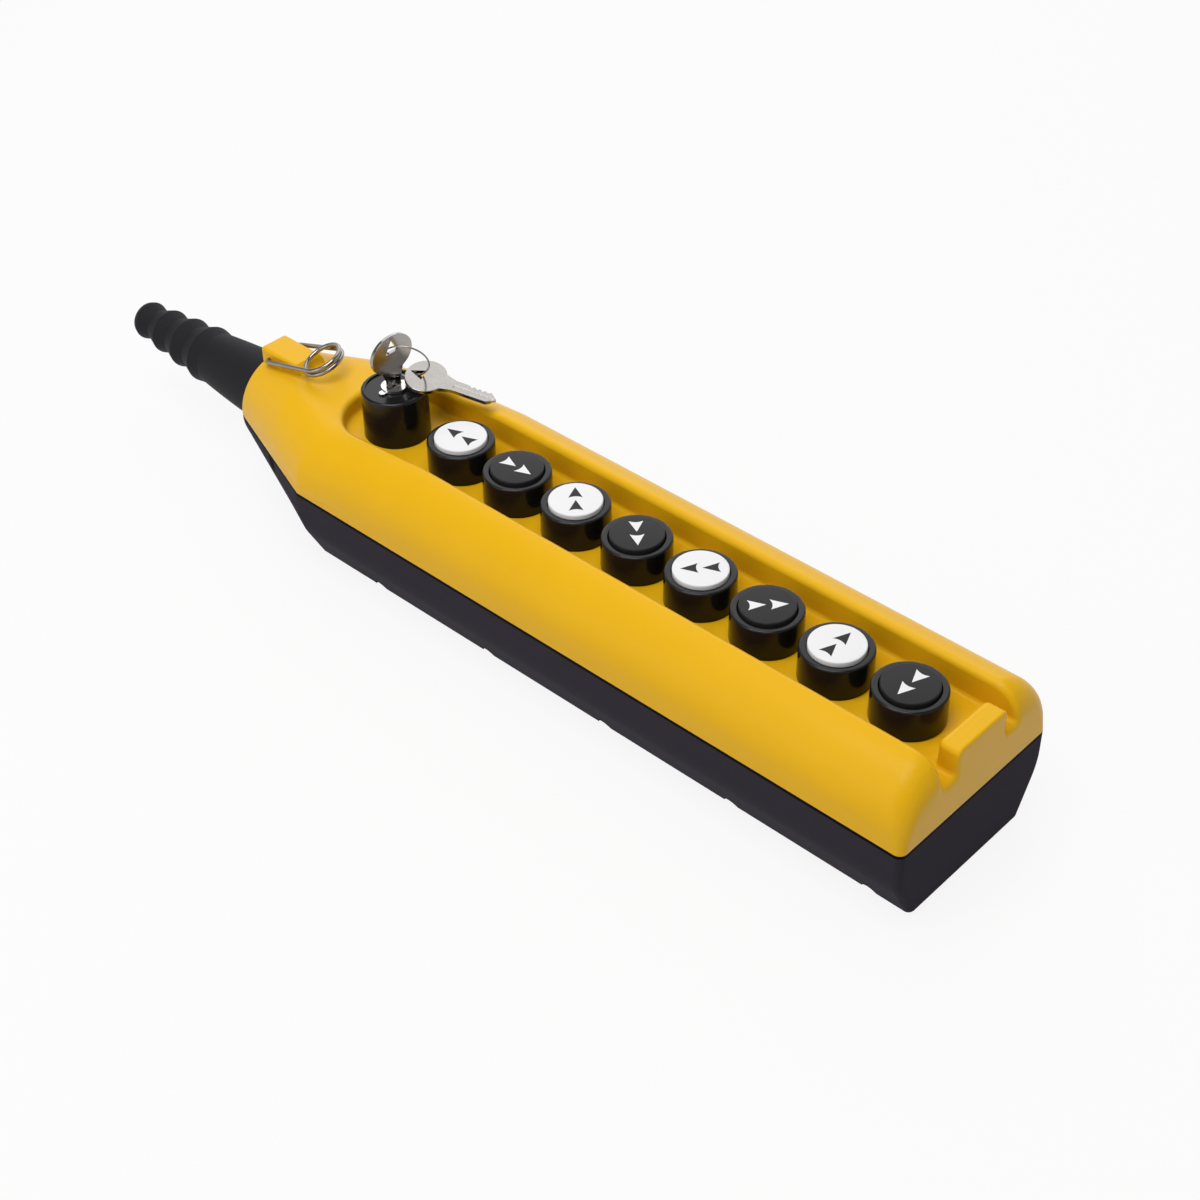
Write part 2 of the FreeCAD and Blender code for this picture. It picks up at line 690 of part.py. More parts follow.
rear_backed = rounded("rear_skin_back", rear_skin, back_edge, size("dim.back_round"))
rear_ended = rounded("rear_skin_end", rear_backed, at_end, size("dim.end_round"))
rear_form = rounded("rear_skin_mouth", rear_ended, at_collar, size("dim.collar_round"))
rear_bosses = screw_columns("rear_boss", "dim.counterbore_diameter / 2 + dim.boss_wall", "0",
                            "dim.parting_height")
CLAMP_X = "(%s + dim.clamp_setback)" % X_COLLAR
cradle = box("cradle", "dim.clamp_depth", "dim.clamp_length", "dim.parting_height",
             (CLAMP_X, "-dim.clamp_length / 2", "0"))
rear_void = less("rear_void", rear_hollow, fused("rear_kept", [cradle] + rear_bosses))
counterbores = screw_columns("counterbore", "dim.counterbore_diameter / 2", "-dim.boss_wall",
                             "dim.screw_seat_height + dim.boss_wall")
screw_holes = screw_columns("screw_hole", "dim.screw_diameter / 2 + dim.screw_clearance", "0",
                            "dim.floor_height")
cable_way = cylinder("cable_way", "dim.boot_bore_radius", "3 * dim.clamp_depth",
                     ("%s - dim.clamp_depth" % CLAMP_X, "0", "dim.parting_height"), V(1, 0, 0))
CLAMP_MIDDLE = "(%s + dim.clamp_depth / 2)" % CLAMP_X
CLAMP_LOW = "(dim.parting_height - dim.clamp_screw_reach)"
CLAMP_SIDES = ["dim.clamp_screw_span / 2", "-dim.clamp_screw_span / 2"]


def clamp_columns(name, radius, low, height):
    """A column at each clamp screw."""
    return [cylinder("%s_%d" % (name, number), radius, height, (CLAMP_MIDDLE, side, low))
            for number, side in enumerate(CLAMP_SIDES)]


clamp_holes = clamp_columns("clamp_hole", "dim.clamp_screw_diameter / 2 + dim.thread_clearance",
                            CLAMP_LOW, "dim.clamp_screw_reach + dim.clamp_height")
rear_shell = less("rear_shell", less("rear_hollowed", rear_form, rear_void), seal)
rear_bores = fused("rear_bores", [boot_hole, cable_way] + clamp_holes + counterbores)
rear_bored = less("rear_bored", rear_shell, rear_bores)
rear_bored.Refine = False
rear = less("rear", rear_bored, fused("rear_screw_holes", screw_holes))
rear.Refine = False
node(rear, "rear_cover")


def spread(label, pattern, places):
    """One group of separate solids: the same piece repeated at several places."""
    doc.recompute()
    copies = [pattern.Shape.translated(place) for place in places]
    group = doc.addObject("Part::Feature", label)
    group.Shape = Part.makeCompound(copies)
    return node(group, label)


# Cover screws: ten, driven from the back into the front cover's bosses
cover_screw = turned("cover_screw", [
    ("0", "-dim.screw_head_height"),
    ("dim.screw_head_diameter / 2", "-dim.screw_head_height"),
    ("dim.screw_head_diameter / 2", "0"),
    ("dim.screw_diameter / 2", "0"),
    ("dim.screw_diameter / 2", "dim.screw_length"),
    ("0", "dim.screw_length"),
])
spread("cover_screws", cover_screw,
       [V(size(x), size(y), size("dim.screw_seat_height")) for x, y in SCREW_PLACES])

# Cable clamp: a bar across the cradle behind the boot, with two screws
clamp_bar = box("clamp_bar", "dim.clamp_depth", "dim.clamp_length", "dim.clamp_height",
                (CLAMP_X, "-dim.clamp_length / 2", "dim.parting_height"))
node(less("clamp", clamp_bar, fused("clamp_tools", [cable_way] + clamp_holes)), "cable_clamp")
clamp_screw = turned("clamp_screw", [
    ("0", "-dim.clamp_screw_reach"),
    ("dim.clamp_screw_diameter / 2", "-dim.clamp_screw_reach"),
    ("dim.clamp_screw_diameter / 2", "dim.clamp_height"),
    ("dim.clamp_screw_diameter", "dim.clamp_height"),
    ("dim.clamp_screw_diameter", "dim.clamp_height + dim.clamp_screw_diameter / 2"),
    ("0", "dim.clamp_height + dim.clamp_screw_diameter / 2"),
])
spread("clamp_screws", clamp_screw,
       [V(size(CLAMP_MIDDLE), size(side), size("dim.parting_height")) for side in CLAMP_SIDES])

# Cable boot: rubber, turned about X, a long bowed cone and four ridges that step down to the tip


def beside_crest(crest_at, crest, way, angle):
    """Point of a ridge's round crown where it has turned by an angle, on one side of the crest."""
    along = "-(%s %s dim.boot_crown_round * sin(%s))" % (crest_at, way, angle)
    return along, "%s - dim.boot_crown_round * (1 - cos(%s))" % (crest, angle)


BOOT_BACK_END = "dim.collar_thick + dim.boot_flange_thick"
boot_points = [
    ("-dim.boot_length + dim.boot_bore_length", "dim.boot_bore_radius"),
    (BOOT_BACK_END, "dim.boot_mouth_radius"),
    (BOOT_BACK_END, "dim.boot_flange_radius"),
    ("dim.collar_thick", "dim.boot_flange_radius"),
    ("dim.collar_thick", "dim.boot_base_radius"),
    ("0", "dim.boot_base_radius"),
]
boot_arcs = {len(boot_points) - 1: "dim.boot_cone_bow"}
for ridge in range(RIDGE_COUNT):
    to_tip = RIDGE_COUNT - 1 - ridge
    crest_at = "(dim.boot_length - dim.boot_tip_length - %d * dim.boot_ridge_pitch)" % to_tip
    groove_at = "(%s - dim.boot_ridge_lead)" % crest_at
    crest = "dim.boot_ridge_radius - %d * dim.boot_ridge_step" % ridge
    groove = "%s - dim.boot_groove_depth" % crest if ridge else "dim.boot_cone_radius"
    boot_points.append(("-(%s)" % groove_at, groove))
    boot_arcs[len(boot_points)] = "dim.boot_crown_round"
    boot_points.append(beside_crest(crest_at, crest, "-", "dim.boot_rise_angle"))
    if ridge < RIDGE_COUNT - 1:
        boot_points.append(beside_crest(crest_at, crest, "+", "dim.boot_fall_angle"))

# The last ridge rounds off level into the tip
TIP_RADIUS = "dim.boot_bore_radius + dim.boot_lip"
TIP_DROP = "(%s - (%s))" % (crest, TIP_RADIUS)
boot_arcs[len(boot_points)] = "(dim.boot_tip_length^2 + %s^2) / (2 * %s)" % (TIP_DROP, TIP_DROP)
boot_points.append(("-(%s)" % crest_at, crest))
boot_points.append(("-dim.boot_length", TIP_RADIUS))
boot_points.append(("-dim.boot_length", "dim.boot_bore_radius"))
boot = turned("boot", boot_points, boot_arcs, "H_Axis")
node(placed(boot, (X_COLLAR, "0", "dim.parting_height")), "cable_boot")

# Hanging eye: one wire, two pins in the lug, two legs and a coil of one and a half turns
COIL_TURNS = 1.5


def corner_arc(corner, along, away, run):
    """Arc that rounds the corner between two directions, starting a run before it."""
    half = along.getAngle(away) / 2
    bisector = (along + away).normalize()
    radius = run * math.tan(half)
    crown = corner + bisector * (run / math.cos(half) - radius)
    return Part.Arc(corner + along * run, crown, corner + away * run).toShape()


def eye_wire():
    """The eye's middle line, with its pins on the Y axis and its coil towards +X."""
    radius = size("dim.eye_coil_radius")
    pitch = size("dim.eye_coil_pitch")
    reach = size("dim.eye_reach")
    bend = size("dim.eye_wire")
    slope = pitch / (2 * math.pi * radius)
    coil_half = COIL_TURNS * pitch / 2
    fall = coil_half + reach * slope
    roll = FreeCAD.Rotation(V(1, 0, 0), math.degrees(math.atan2(fall, radius)))
    coil = Part.makeHelix(pitch, COIL_TURNS * pitch, radius, 0, True)
    coil.Placement = FreeCAD.Placement(V(reach, 0, -coil_half), FreeCAD.Rotation(V(0, 0, 1), 90))
    coil = coil.transformGeometry(FreeCAD.Placement(V(), roll).toMatrix())
    pin_end = size("dim.lug_width / 2 - dim.eye_pin_depth")
    edges = []
    for side in (1, -1):
        corner = roll.multVec(V(0, side * radius, -side * fall))
        leg_end = roll.multVec(V(reach, side * radius, -side * coil_half))
        leg = (leg_end - corner).normalize()
        pin = V(0, -side, 0)
        edges.append(Part.makeLine(V(0, side * pin_end, 0), corner + pin * bend))
        edges.append(corner_arc(corner, pin, leg, bend))
        edges.append(Part.makeLine(corner + leg * bend, leg_end))
    return Part.Wire(Part.__sortEdges__(edges + coil.Edges))


eye_path = eye_wire()
eye_start = eye_path.OrderedVertexes[0].Point
eye_round = Part.Wire(Part.makeCircle(size("dim.eye_wire / 2"), eye_start, V(0, 1, 0)))
eye = doc.addObject("Part::Feature", "eye")
eye.Shape = eye_path.makePipeShell([eye_round], True, False)
eye.Placement = FreeCAD.Placement(V(size(PIN_X), 0, size(PIN_Z)),
                                  FreeCAD.Rotation(V(0, -1, 0), size("dim.eye_tilt")))
node(eye, "hanging_eye")

# Push buttons: all heights are above the channel floor, and each piece stands on its button's axis
CUP_RADIUS = "(dim.cap_radius + dim.cap_clearance)"
CAP_TOP = "(dim.bezel_height + dim.cap_stand)"
CUP_FLOOR = "(%s - dim.cap_skirt - dim.button_travel - dim.travel_gap)" % CAP_TOP
CAP_UNDER = "(%s - dim.cap_roof)" % CAP_TOP
PLUNGER_BORE = "(dim.plunger_radius + dim.plunger_clearance)"
FLANGE_TOP = "(-dim.sleeve_length - dim.plunger_flange_gap)"
FLANGE_LOW = "(%s - dim.plunger_flange_thick)" % FLANGE_TOP
BLOCK_TOP = "(-dim.panel_thick - dim.nut_thick)"
BLOCK_LOW = "(%s - dim.block_height)" % BLOCK_TOP
LEDGE = "(%s + dim.block_step_height)" % BLOCK_LOW


def on_panel(target, x):
    """Stand a piece on the channel floor."""
    return placed(target, (x, "0", "dim.floor_height"))


def housing_foot(bore):
    """Lower part of a switch housing's half profile: threaded sleeve, gasket seat and foot."""
    return [
        (bore, "-dim.sleeve_length"),
        ("dim.sleeve_radius", "-dim.sleeve_length"),
        ("dim.sleeve_radius", "dim.gasket_thick"),
        ("dim.gasket_radius", "dim.gasket_thick"),
        ("dim.gasket_radius", "0"),
    ]


def bezel(label):
    """Tall round housing with a cup for the cap and a bore for the plunger."""
    crown = "dim.bezel_radius - dim.bezel_draft"
    points = housing_foot(PLUNGER_BORE) + [
        ("dim.bezel_radius", "0"),
        (crown, "dim.bezel_height - dim.bezel_round"),
        ("%s - dim.bezel_round" % crown, "dim.bezel_height"),
        ("%s + dim.cup_round" % CUP_RADIUS, "dim.bezel_height"),
        (CUP_RADIUS, "dim.bezel_height - dim.cup_round"),
        (CUP_RADIUS, CUP_FLOOR),
        (PLUNGER_BORE, CUP_FLOOR),
    ]
    return turned(label, points, {6: "dim.bezel_round", 8: "dim.cup_round"})


def cap(label):
    """Flat-topped cap with a skirt that slides in the bezel's cup."""
    inside = "dim.cap_radius - dim.cap_wall"
    low = "%s - dim.cap_skirt" % CAP_TOP
    points = [
        (inside, low),
        ("dim.cap_radius", low),
        ("dim.cap_radius", "%s - dim.cap_round" % CAP_TOP),
        ("dim.cap_radius - dim.cap_round", CAP_TOP),
        ("0", CAP_TOP),
        ("0", CAP_UNDER),
        (inside, CAP_UNDER),
    ]
    return turned(label, points, {2: "dim.cap_round"})


def plunger(label):
    """Stem under the cap, kept in by a flange below the sleeve, with a tip that works the contacts."""
    tip = "%s - dim.plunger_tip_length" % FLANGE_LOW
    return turned(label, [
        ("0", tip),
        ("dim.plunger_tip_radius", tip),
        ("dim.plunger_tip_radius", FLANGE_LOW),
        ("dim.plunger_flange_radius", FLANGE_LOW),
        ("dim.plunger_flange_radius", FLANGE_TOP),
        ("dim.plunger_radius", FLANGE_TOP),
        ("dim.plunger_radius", CAP_UNDER),
        ("0", CAP_UNDER),
    ])


def spring(label):
    """Return spring between the cup's floor and the cap's roof."""
    coil = doc.addObject("Part::Helix", label + "_coil")
    height = "(%s - %s - 2 * dim.spring_gap - dim.spring_wire)" % (CAP_UNDER, CUP_FLOOR)
    bind(coil, Radius="dim.spring_radius", Height=height, Pitch="%s / dim.spring_turns" % height)
    wire = doc.addObject("Part::RegularPolygon", label + "_wire")
    wire.Polygon = 4
    bind(wire, Circumradius="dim.spring_wire / 2")
    wire.Placement.Rotation = FreeCAD.Rotation(V(1, 0, 0), 90)
    wire.setExpression("Placement.Base.x", "dim.spring_radius")
    sweep = doc.addObject("Part::Sweep", label)
    sweep.Sections = [wire]
    sweep.Spine = (coil, ["Edge1"])
    sweep.Solid = True
    sweep.Frenet = True
    return sweep


def contact_block(label, bore):
    """Contact block below the lock nut: a stepped moulding with a stepped bore."""
    half = "dim.block_width / 2"
    step = "(%s - dim.block_step_width)" % half
    body = doc.addObject("PartDesign::Body", label)
    side = body_sketch(body, label + "_side", "YZ_Plane", [
        ("-" + step, BLOCK_LOW),
        (step, BLOCK_LOW),
        (step, LEDGE),
        (half, LEDGE),
        (half, BLOCK_TOP),
        ("-" + half, BLOCK_TOP),
        ("-" + half, LEDGE),
        ("-" + step, LEDGE),
    ], None, "-dim.block_length / 2")
    pad = body.newObject("PartDesign::Pad", label + "_pad")
    pad.Profile = side
    pad.setExpression("Length", "dim.block_length")
    shoulder = FLANGE_TOP
    recess = "dim.sleeve_radius + dim.sleeve_clearance"
    hole = body_sketch(body, label + "_hole", "XZ_Plane", [
        ("0", "%s + dim.block_bore_floor" % BLOCK_LOW),
        (bore, "%s + dim.block_bore_floor" % BLOCK_LOW),
        (bore, shoulder),
        (recess, shoulder),
        (recess, BLOCK_TOP),
        ("0", BLOCK_TOP),
    ])
    groove = body.newObject("PartDesign::Groove", label + "_bore")
    groove.Profile = hole
    groove.ReferenceAxis = (hole, ["V_Axis"])
    groove.Angle = 360
    body.Tip = groove
    return body


for number in range(BUTTON_COUNT):
    button = "button_%d_" % (number + 1)
    button_x = "%s + %d * dim.button_pitch" % (X_FIRST, number)
    node(on_panel(bezel(button + "bezel"), button_x), button + "bezel")
    node(on_panel(cap(button + "cap"), button_x), button + "cap")
    node(on_panel(plunger(button + "plunger"), button_x), button + "plunger")
    coil_low = "dim.floor_height + %s + dim.spring_gap + dim.spring_wire / 2" % CUP_FLOOR
    node(placed(spring(button + "spring"), (button_x, "0", coil_low)), button + "spring")
    node(on_panel(contact_block(button + "block", "dim.block_bore_radius"), button_x), button + "block")

# Gaskets, lock nuts and terminal screws of the nine switches
SWITCH_PLACES = [V(x, 0, FLOOR) for x in SWITCH_X]
gasket = turned("gasket", [
    ("dim.sleeve_radius", "0"),
    ("dim.gasket_radius", "0"),
    ("dim.gasket_radius", "dim.gasket_thick"),
    ("dim.sleeve_radius", "dim.gasket_thick"),
])
spread("button_gaskets", gasket, SWITCH_PLACES)
nut_hexagon = doc.addObject("Part::Prism", "nut_hexagon")
nut_hexagon.Polygon = 6
bind(nut_hexagon, Circumradius="dim.nut_flats / sqrt(3)", Height="dim.nut_thick")
placed(nut_hexagon, ("0", "0", BLOCK_TOP))
nut_bore = cylinder("nut_bore", "dim.sleeve_radius + dim.thread_clearance", "2 * dim.nut_thick",
                    ("0", "0", "%s - dim.nut_thick / 2" % BLOCK_TOP))
spread("button_lock_nuts", less("lock_nut", nut_hexagon, nut_bore), SWITCH_PLACES)
TERMINAL_SIDE = size("dim.block_width / 2 - dim.block_step_width / 2")
TERMINAL_STEP = size("dim.terminal_span / 2")
terminal = cylinder("terminal", "dim.terminal_diameter / 2", "dim.terminal_height",
                    ("0", "0", "%s - dim.terminal_height" % LEDGE))
spread("terminal_screws", terminal, [place + V(along, across, 0) for place in SWITCH_PLACES
                                     for along in (-TERMINAL_STEP, TERMINAL_STEP)
                                     for across in (-TERMINAL_SIDE, TERMINAL_SIDE)])

# Key switch: taller housing, a lock barrel that turns in it, and the cam on the barrel's lower end
BARREL_BORE = "(dim.barrel_radius + dim.barrel_clearance)"
HEAD_CROWN = "(dim.head_radius - dim.head_draft)"
HEAD_FACE = "(dim.head_height - dim.head_rim_depth)"
FACE_LOW = "(%s + dim.barrel_face_gap)" % HEAD_FACE
BARREL_LOW = "(-dim.sleeve_length - dim.barrel_tail)"
CAM_LOW = "(%s - dim.cam_thick)" % BARREL_LOW
SLOT_TURN = -18.0
head_body = turned("head_body", housing_foot(BARREL_BORE) + [
    ("dim.head_radius", "0"),
    (HEAD_CROWN, "dim.head_height - dim.head_round"),
    ("%s - dim.head_round" % HEAD_CROWN, "dim.head_height"),
    ("%s - dim.head_rim_width" % HEAD_CROWN, "dim.head_height"),
    ("%s - dim.head_rim_width" % HEAD_CROWN, HEAD_FACE),
    (BARREL_BORE, HEAD_FACE),
], {6: "dim.head_round"})
head_slot = box("head_slot", "dim.head_radius", "dim.head_slot_width", "dim.head_slot_height",
                ("0", "0", "0"))
head_slot.Placement.Rotation = FreeCAD.Rotation(V(0, 0, 1), SLOT_TURN)
SLOT_REACH = "(dim.head_radius - dim.head_draft / 2 - dim.head_slot_depth)"
placed(head_slot, ("%s * cos(%g) + dim.head_slot_width / 2 * sin(%g)" % (SLOT_REACH, SLOT_TURN, SLOT_TURN),
                   "%s * sin(%g) - dim.head_slot_width / 2 * cos(%g)" % (SLOT_REACH, SLOT_TURN, SLOT_TURN),
                   "dim.head_height / 2 - dim.head_slot_height"))
node(on_panel(less("head", head_body, head_slot), X_KEY), "key_switch_head")
CAM_REACH = "(dim.cam_radius + dim.cam_lobe)"
node(on_panel(contact_block("key_block", "%s + dim.cam_clearance" % CAM_REACH), X_KEY),
     "key_switch_block")
barrel_body = turned("barrel_body", [
    ("0", CAM_LOW),
    ("dim.cam_boss_radius", CAM_LOW),
    ("dim.cam_boss_radius", BARREL_LOW),
    ("dim.barrel_radius", BARREL_LOW),
    ("dim.barrel_radius", FACE_LOW),
    ("dim.barrel_face_radius", FACE_LOW),
    ("dim.barrel_face_radius", "%s + dim.barrel_face_thick" % FACE_LOW),
    ("0", "%s + dim.barrel_face_thick" % FACE_LOW),
])
POINTER_RUN = "(dim.pointer_reach - dim.pointer_width / 2)"
pointer = box("pointer", "dim.pointer_width", POINTER_RUN, "dim.pointer_thick",
              ("-dim.pointer_width / 2", "-" + POINTER_RUN, FACE_LOW))
pointer_tip = cylinder("pointer_tip", "dim.pointer_width / 2", "dim.pointer_thick",
                       ("0", "-" + POINTER_RUN, FACE_LOW))
BOW_LEVEL = "(dim.head_height + dim.bow_stand)"
KEYWAY_LOW = "(%s - dim.key_length - dim.keyway_clearance)" % BOW_LEVEL
keyway = box("keyway", "dim.key_thick + 2 * dim.keyway_clearance",
             "dim.key_blade_width + 2 * dim.keyway_clearance", "dim.key_length",
             ("-dim.key_thick / 2 - dim.keyway_clearance",
              "-dim.key_blade_width / 2 - dim.keyway_clearance", KEYWAY_LOW))
barrel_form = fused("barrel_form", [barrel_body, pointer, pointer_tip])
node(on_panel(less("barrel", barrel_form, keyway), X_KEY), "lock_barrel")

# Cam: a disc with one lobe, its flanks tangent to both rounds
LOBE_AT = "(%s - dim.cam_boss_radius)" % CAM_REACH
LOBE_SINE = "((dim.cam_radius - dim.cam_boss_radius) / %s)" % LOBE_AT
LOBE_COSINE = "sqrt(1 - %s * %s)" % (LOBE_SINE, LOBE_SINE)
WIDE = ("dim.cam_radius * %s" % LOBE_SINE, "dim.cam_radius * %s" % LOBE_COSINE)
NARROW = ("%s + dim.cam_boss_radius * %s" % (LOBE_AT, LOBE_SINE), "dim.cam_boss_radius * %s" % LOBE_COSINE)
cam_outline = outline(doc.addObject("Sketcher::SketchObject", "cam_outline"), [
    (WIDE[0], "-" + WIDE[1]),
    (NARROW[0], "-" + NARROW[1]),
    NARROW,
    WIDE,
    ("-dim.cam_radius", "0"),
], {1: "dim.cam_boss_radius", 3: "dim.cam_radius", 4: "dim.cam_radius"})
cam_plate = extruded("cam_plate", cam_outline, "dim.cam_thick")
cam_bore = cylinder("cam_bore", "dim.cam_boss_radius + dim.thread_clearance", "dim.cam_thick",
                    ("0", "0", "0"))
cam = less("cam", cam_plate, cam_bore)
node(placed(cam, (X_KEY, "0", "dim.floor_height + %s" % CAM_LOW)), "lock_cam")

# Keys: flat plates with an oval bow, a tapered neck, a notched blade and a three-cornered hole
NOTCH_COUNT = 4
UPRIGHT = FreeCAD.Rotation(V(1, 1, 1), 120)


def key_plate(name):
    """Key in the YZ plane: bow about the origin, blade down, hole above the middle of the bow."""
    side = "-dim.key_thick / 2"
    oval = doc.addObject("Part::Ellipse", name + "_oval")
    bind(oval, MajorRadius="dim.bow_width / 2", MinorRadius="dim.bow_height / 2")
    oval.Placement.Rotation = UPRIGHT
    oval.setExpression("Placement.Base.x", side)
    half = "dim.key_blade_width / 2"
    neck = "dim.neck_width / 2"
    blade = section(name + "_blade", side, [
        ("0", "-dim.key_length"),
        (half, "-dim.key_length + %s" % half),
        (half, "-dim.neck_drop"),
        (neck, "-dim.neck_root"),
        ("-" + neck, "-dim.neck_root"),
        ("-" + half, "-dim.neck_drop"),
        ("-" + half, "-dim.key_length + %s" % half),
    ])
    plate = fused(name + "_plate", [extruded(name + "_bow", oval, "dim.key_thick"),
                                    extruded(name + "_shank", blade, "dim.key_thick")])
    hole = doc.addObject("Part::Prism", name + "_hole")
    hole.Polygon = 3
    bind(hole, Circumradius="dim.bow_hole_radius", Height="2 * dim.key_thick")
    hole.Placement.Rotation = FreeCAD.Rotation(V(0, 1, 0), -90)
    placed(hole, ("dim.key_thick", "0", "dim.bow_hole_offset"))
    cuts = [hole]
    for notch in range(NOTCH_COUNT):
        cut = doc.addObject("Part::Prism", "%s_notch_%d" % (name, notch))
        cut.Polygon = 4
        bind(cut, Circumradius="dim.key_notch", Height="2 * dim.key_thick")
        cut.Placement.Rotation = UPRIGHT
        notch_level = "-dim.key_length + %s + %d * dim.key_notch" % (half, 2 * notch + 1)
        placed(cut, ("-dim.key_thick", half, notch_level))
        cuts.append(cut)
    for number, face in enumerate(("-dim.key_thick / 2 - dim.key_groove_depth",
                                   "dim.key_thick / 2 - dim.key_groove_depth")):
        cuts.append(box("%s_groove_%d" % (name, number), "2 * dim.key_groove_depth", "dim.key_groove_width",
                        "dim.key_length - dim.neck_drop", (face, "-dim.key_groove_width", "-dim.key_length")))
    return less(name, plate, fused(name + "_cuts", cuts))


LOCK = V(KEY_X, 0, FLOOR)
key_bow = LOCK + V(0, 0, size(BOW_LEVEL))
key = node(key_plate("key"), "key")
placed(key, (X_KEY, "0", "dim.floor_height + %s" % BOW_LEVEL))

# Spare key: it hangs from the ring beside the lock, blade towards the buttons
SPARE_BLADE = V(0.891, 0.410, -0.190).normalize()
spare_flat = (V(0, 0, 1) - SPARE_BLADE * SPARE_BLADE.z).normalize()
spare_bow = LOCK + V(size("dim.spare_ahead"), size("dim.spare_aside"),
                     size("dim.head_height + dim.spare_stand"))
spare = node(key_plate("spare"), "spare_key")
spare_up = SPARE_BLADE * -1
spare.Placement = FreeCAD.Placement(
    spare_bow, FreeCAD.Rotation(spare_flat, spare_up.cross(spare_flat), spare_up, "ZXY"))

# Key ring: a wire hoop through the holes of both keys
RING_LEAN = V(0.7, 0.2, 0.7)
key_hole = key_bow + V(0, 0, size("dim.bow_hole_offset"))
spare_hole = spare_bow + spare_up * size("dim.bow_hole_offset")
across = spare_hole - key_hole
through = RING_LEAN - across * (RING_LEAN.dot(across) / across.dot(across))
ring = doc.addObject("Part::Torus", "ring")
ring.Radius1 = across.Length / 2
bind(ring, Radius2="dim.ring_wire / 2")
ring.Placement = FreeCAD.Placement((key_hole + spare_hole) * 0.5,
                                   FreeCAD.Rotation(V(0, 0, 1), across.cross(through)))
node(ring, "key_ring")

# Every feature and every finished solid is tested before anything is written
doc.recompute()
failed = [item.Label for item in doc.Objects if "Invalid" in item.State or "Error" in item.State]
failed += [item.Label for item in NODES if item.Shape.isNull() or not item.Shape.isValid()]
if failed:
    raise RuntimeError("failed features: " + ", ".join(failed))
os.makedirs("parts", exist_ok=True)
for item in NODES:
    item.Shape.exportStep("parts/%s.step" % item.Label)
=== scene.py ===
import math

import bmesh
import bpy
import numpy as np
from mathutils import Matrix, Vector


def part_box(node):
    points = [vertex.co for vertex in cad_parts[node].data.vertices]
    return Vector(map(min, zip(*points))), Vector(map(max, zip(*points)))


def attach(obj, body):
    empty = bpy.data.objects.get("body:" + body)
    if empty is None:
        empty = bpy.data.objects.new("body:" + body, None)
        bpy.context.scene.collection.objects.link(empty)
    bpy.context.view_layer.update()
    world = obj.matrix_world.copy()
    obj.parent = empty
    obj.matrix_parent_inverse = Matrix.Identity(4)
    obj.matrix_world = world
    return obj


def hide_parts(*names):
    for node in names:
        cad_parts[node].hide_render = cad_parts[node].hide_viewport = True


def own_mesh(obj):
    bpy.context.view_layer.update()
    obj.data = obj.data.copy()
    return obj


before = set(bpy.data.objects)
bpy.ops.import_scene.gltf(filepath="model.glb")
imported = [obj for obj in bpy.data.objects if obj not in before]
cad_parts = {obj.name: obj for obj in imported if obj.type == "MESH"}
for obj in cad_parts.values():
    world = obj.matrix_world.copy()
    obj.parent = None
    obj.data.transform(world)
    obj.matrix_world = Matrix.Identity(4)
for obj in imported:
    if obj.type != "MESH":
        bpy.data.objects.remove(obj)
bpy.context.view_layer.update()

# Rear cover: the dark half shell that carries everything, moulded in one piece from polypropylene
# with a fine eroded grain. Ten long screws pull the front cover down on to it.
MM = 0.001
PARTING = 41 * MM
SCREW_LOW, SCREW_HIGH = (np.array(corner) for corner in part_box("cover_screws"))
SCREWS_IN_ROW = 5
HEAD_RADIUS = 3.7 * MM
BORE_RADIUS = 4.6 * MM
# Colour of painted shade in the parting-line joint and the screw counterbores, with dirt in the joint as
# well.
SHADE_AND_DIRT = (0.004, 0.003, 0.003)
DRIFT_SIZE = 45 * MM
SHELL_CREASE = 32.0
SAME_POINT = 2e-6
NO_LENGTH = 5e-6


class Signal:
    """An output socket in a material: an operator between two of them adds the Math node it stands for."""

    def __init__(self, tree, socket=None):
        self.tree = tree
        self.socket = socket

    def node(self, kind, settings=None, inputs=None, output=0):
        """Any node: its settings are made first, then its inputs get their values or links."""
        made = self.tree.nodes.new("ShaderNode" + kind)
        for setting, value in (settings or {}).items():
            setattr(made, setting, value)
        for name, value in (inputs or {}).items():
            if isinstance(value, Signal):
                self.tree.links.new(value.socket, made.inputs[name])
            else:
                made.inputs[name].default_value = value
        return Signal(self.tree, made.outputs[output] if len(made.outputs) else None)

    def maths(self, operation, *values):
        """A Math node on signals or numbers."""
        return self.node("Math", {"operation": operation}, dict(enumerate(values)))

    def __add__(self, other):
        return self.maths("ADD", self, other)

    def __radd__(self, other):
        return self.maths("ADD", other, self)

    def __sub__(self, other):
        return self.maths("SUBTRACT", self, other)

    def __rsub__(self, other):
        return self.maths("SUBTRACT", other, self)

    def __mul__(self, other):
        return self.maths("MULTIPLY", self, other)

    def __rmul__(self, other):
        return self.maths("MULTIPLY", other, self)

    def __abs__(self):
        return self.maths("ABSOLUTE", self)


def blank_finish(name):
    """A material with only its shader and output; returns it with a start for expressions and the shader."""
    finish = bpy.data.materials.new(name)
    finish.use_nodes = True
    tree = finish.node_tree
    tree.nodes.clear()
    shader = tree.nodes.new("ShaderNodeBsdfPrincipled")
    tree.links.new(shader.outputs[0], tree.nodes.new("ShaderNodeOutputMaterial").inputs[0])
    return finish, Signal(tree), shader


def feed(shader, **signals):
    """Link signals to the shader's inputs; an underscore stands for a space."""
    for name, signal in signals.items():
        signal.tree.links.new(signal.socket, shader.inputs[name.replace("_", " ")])


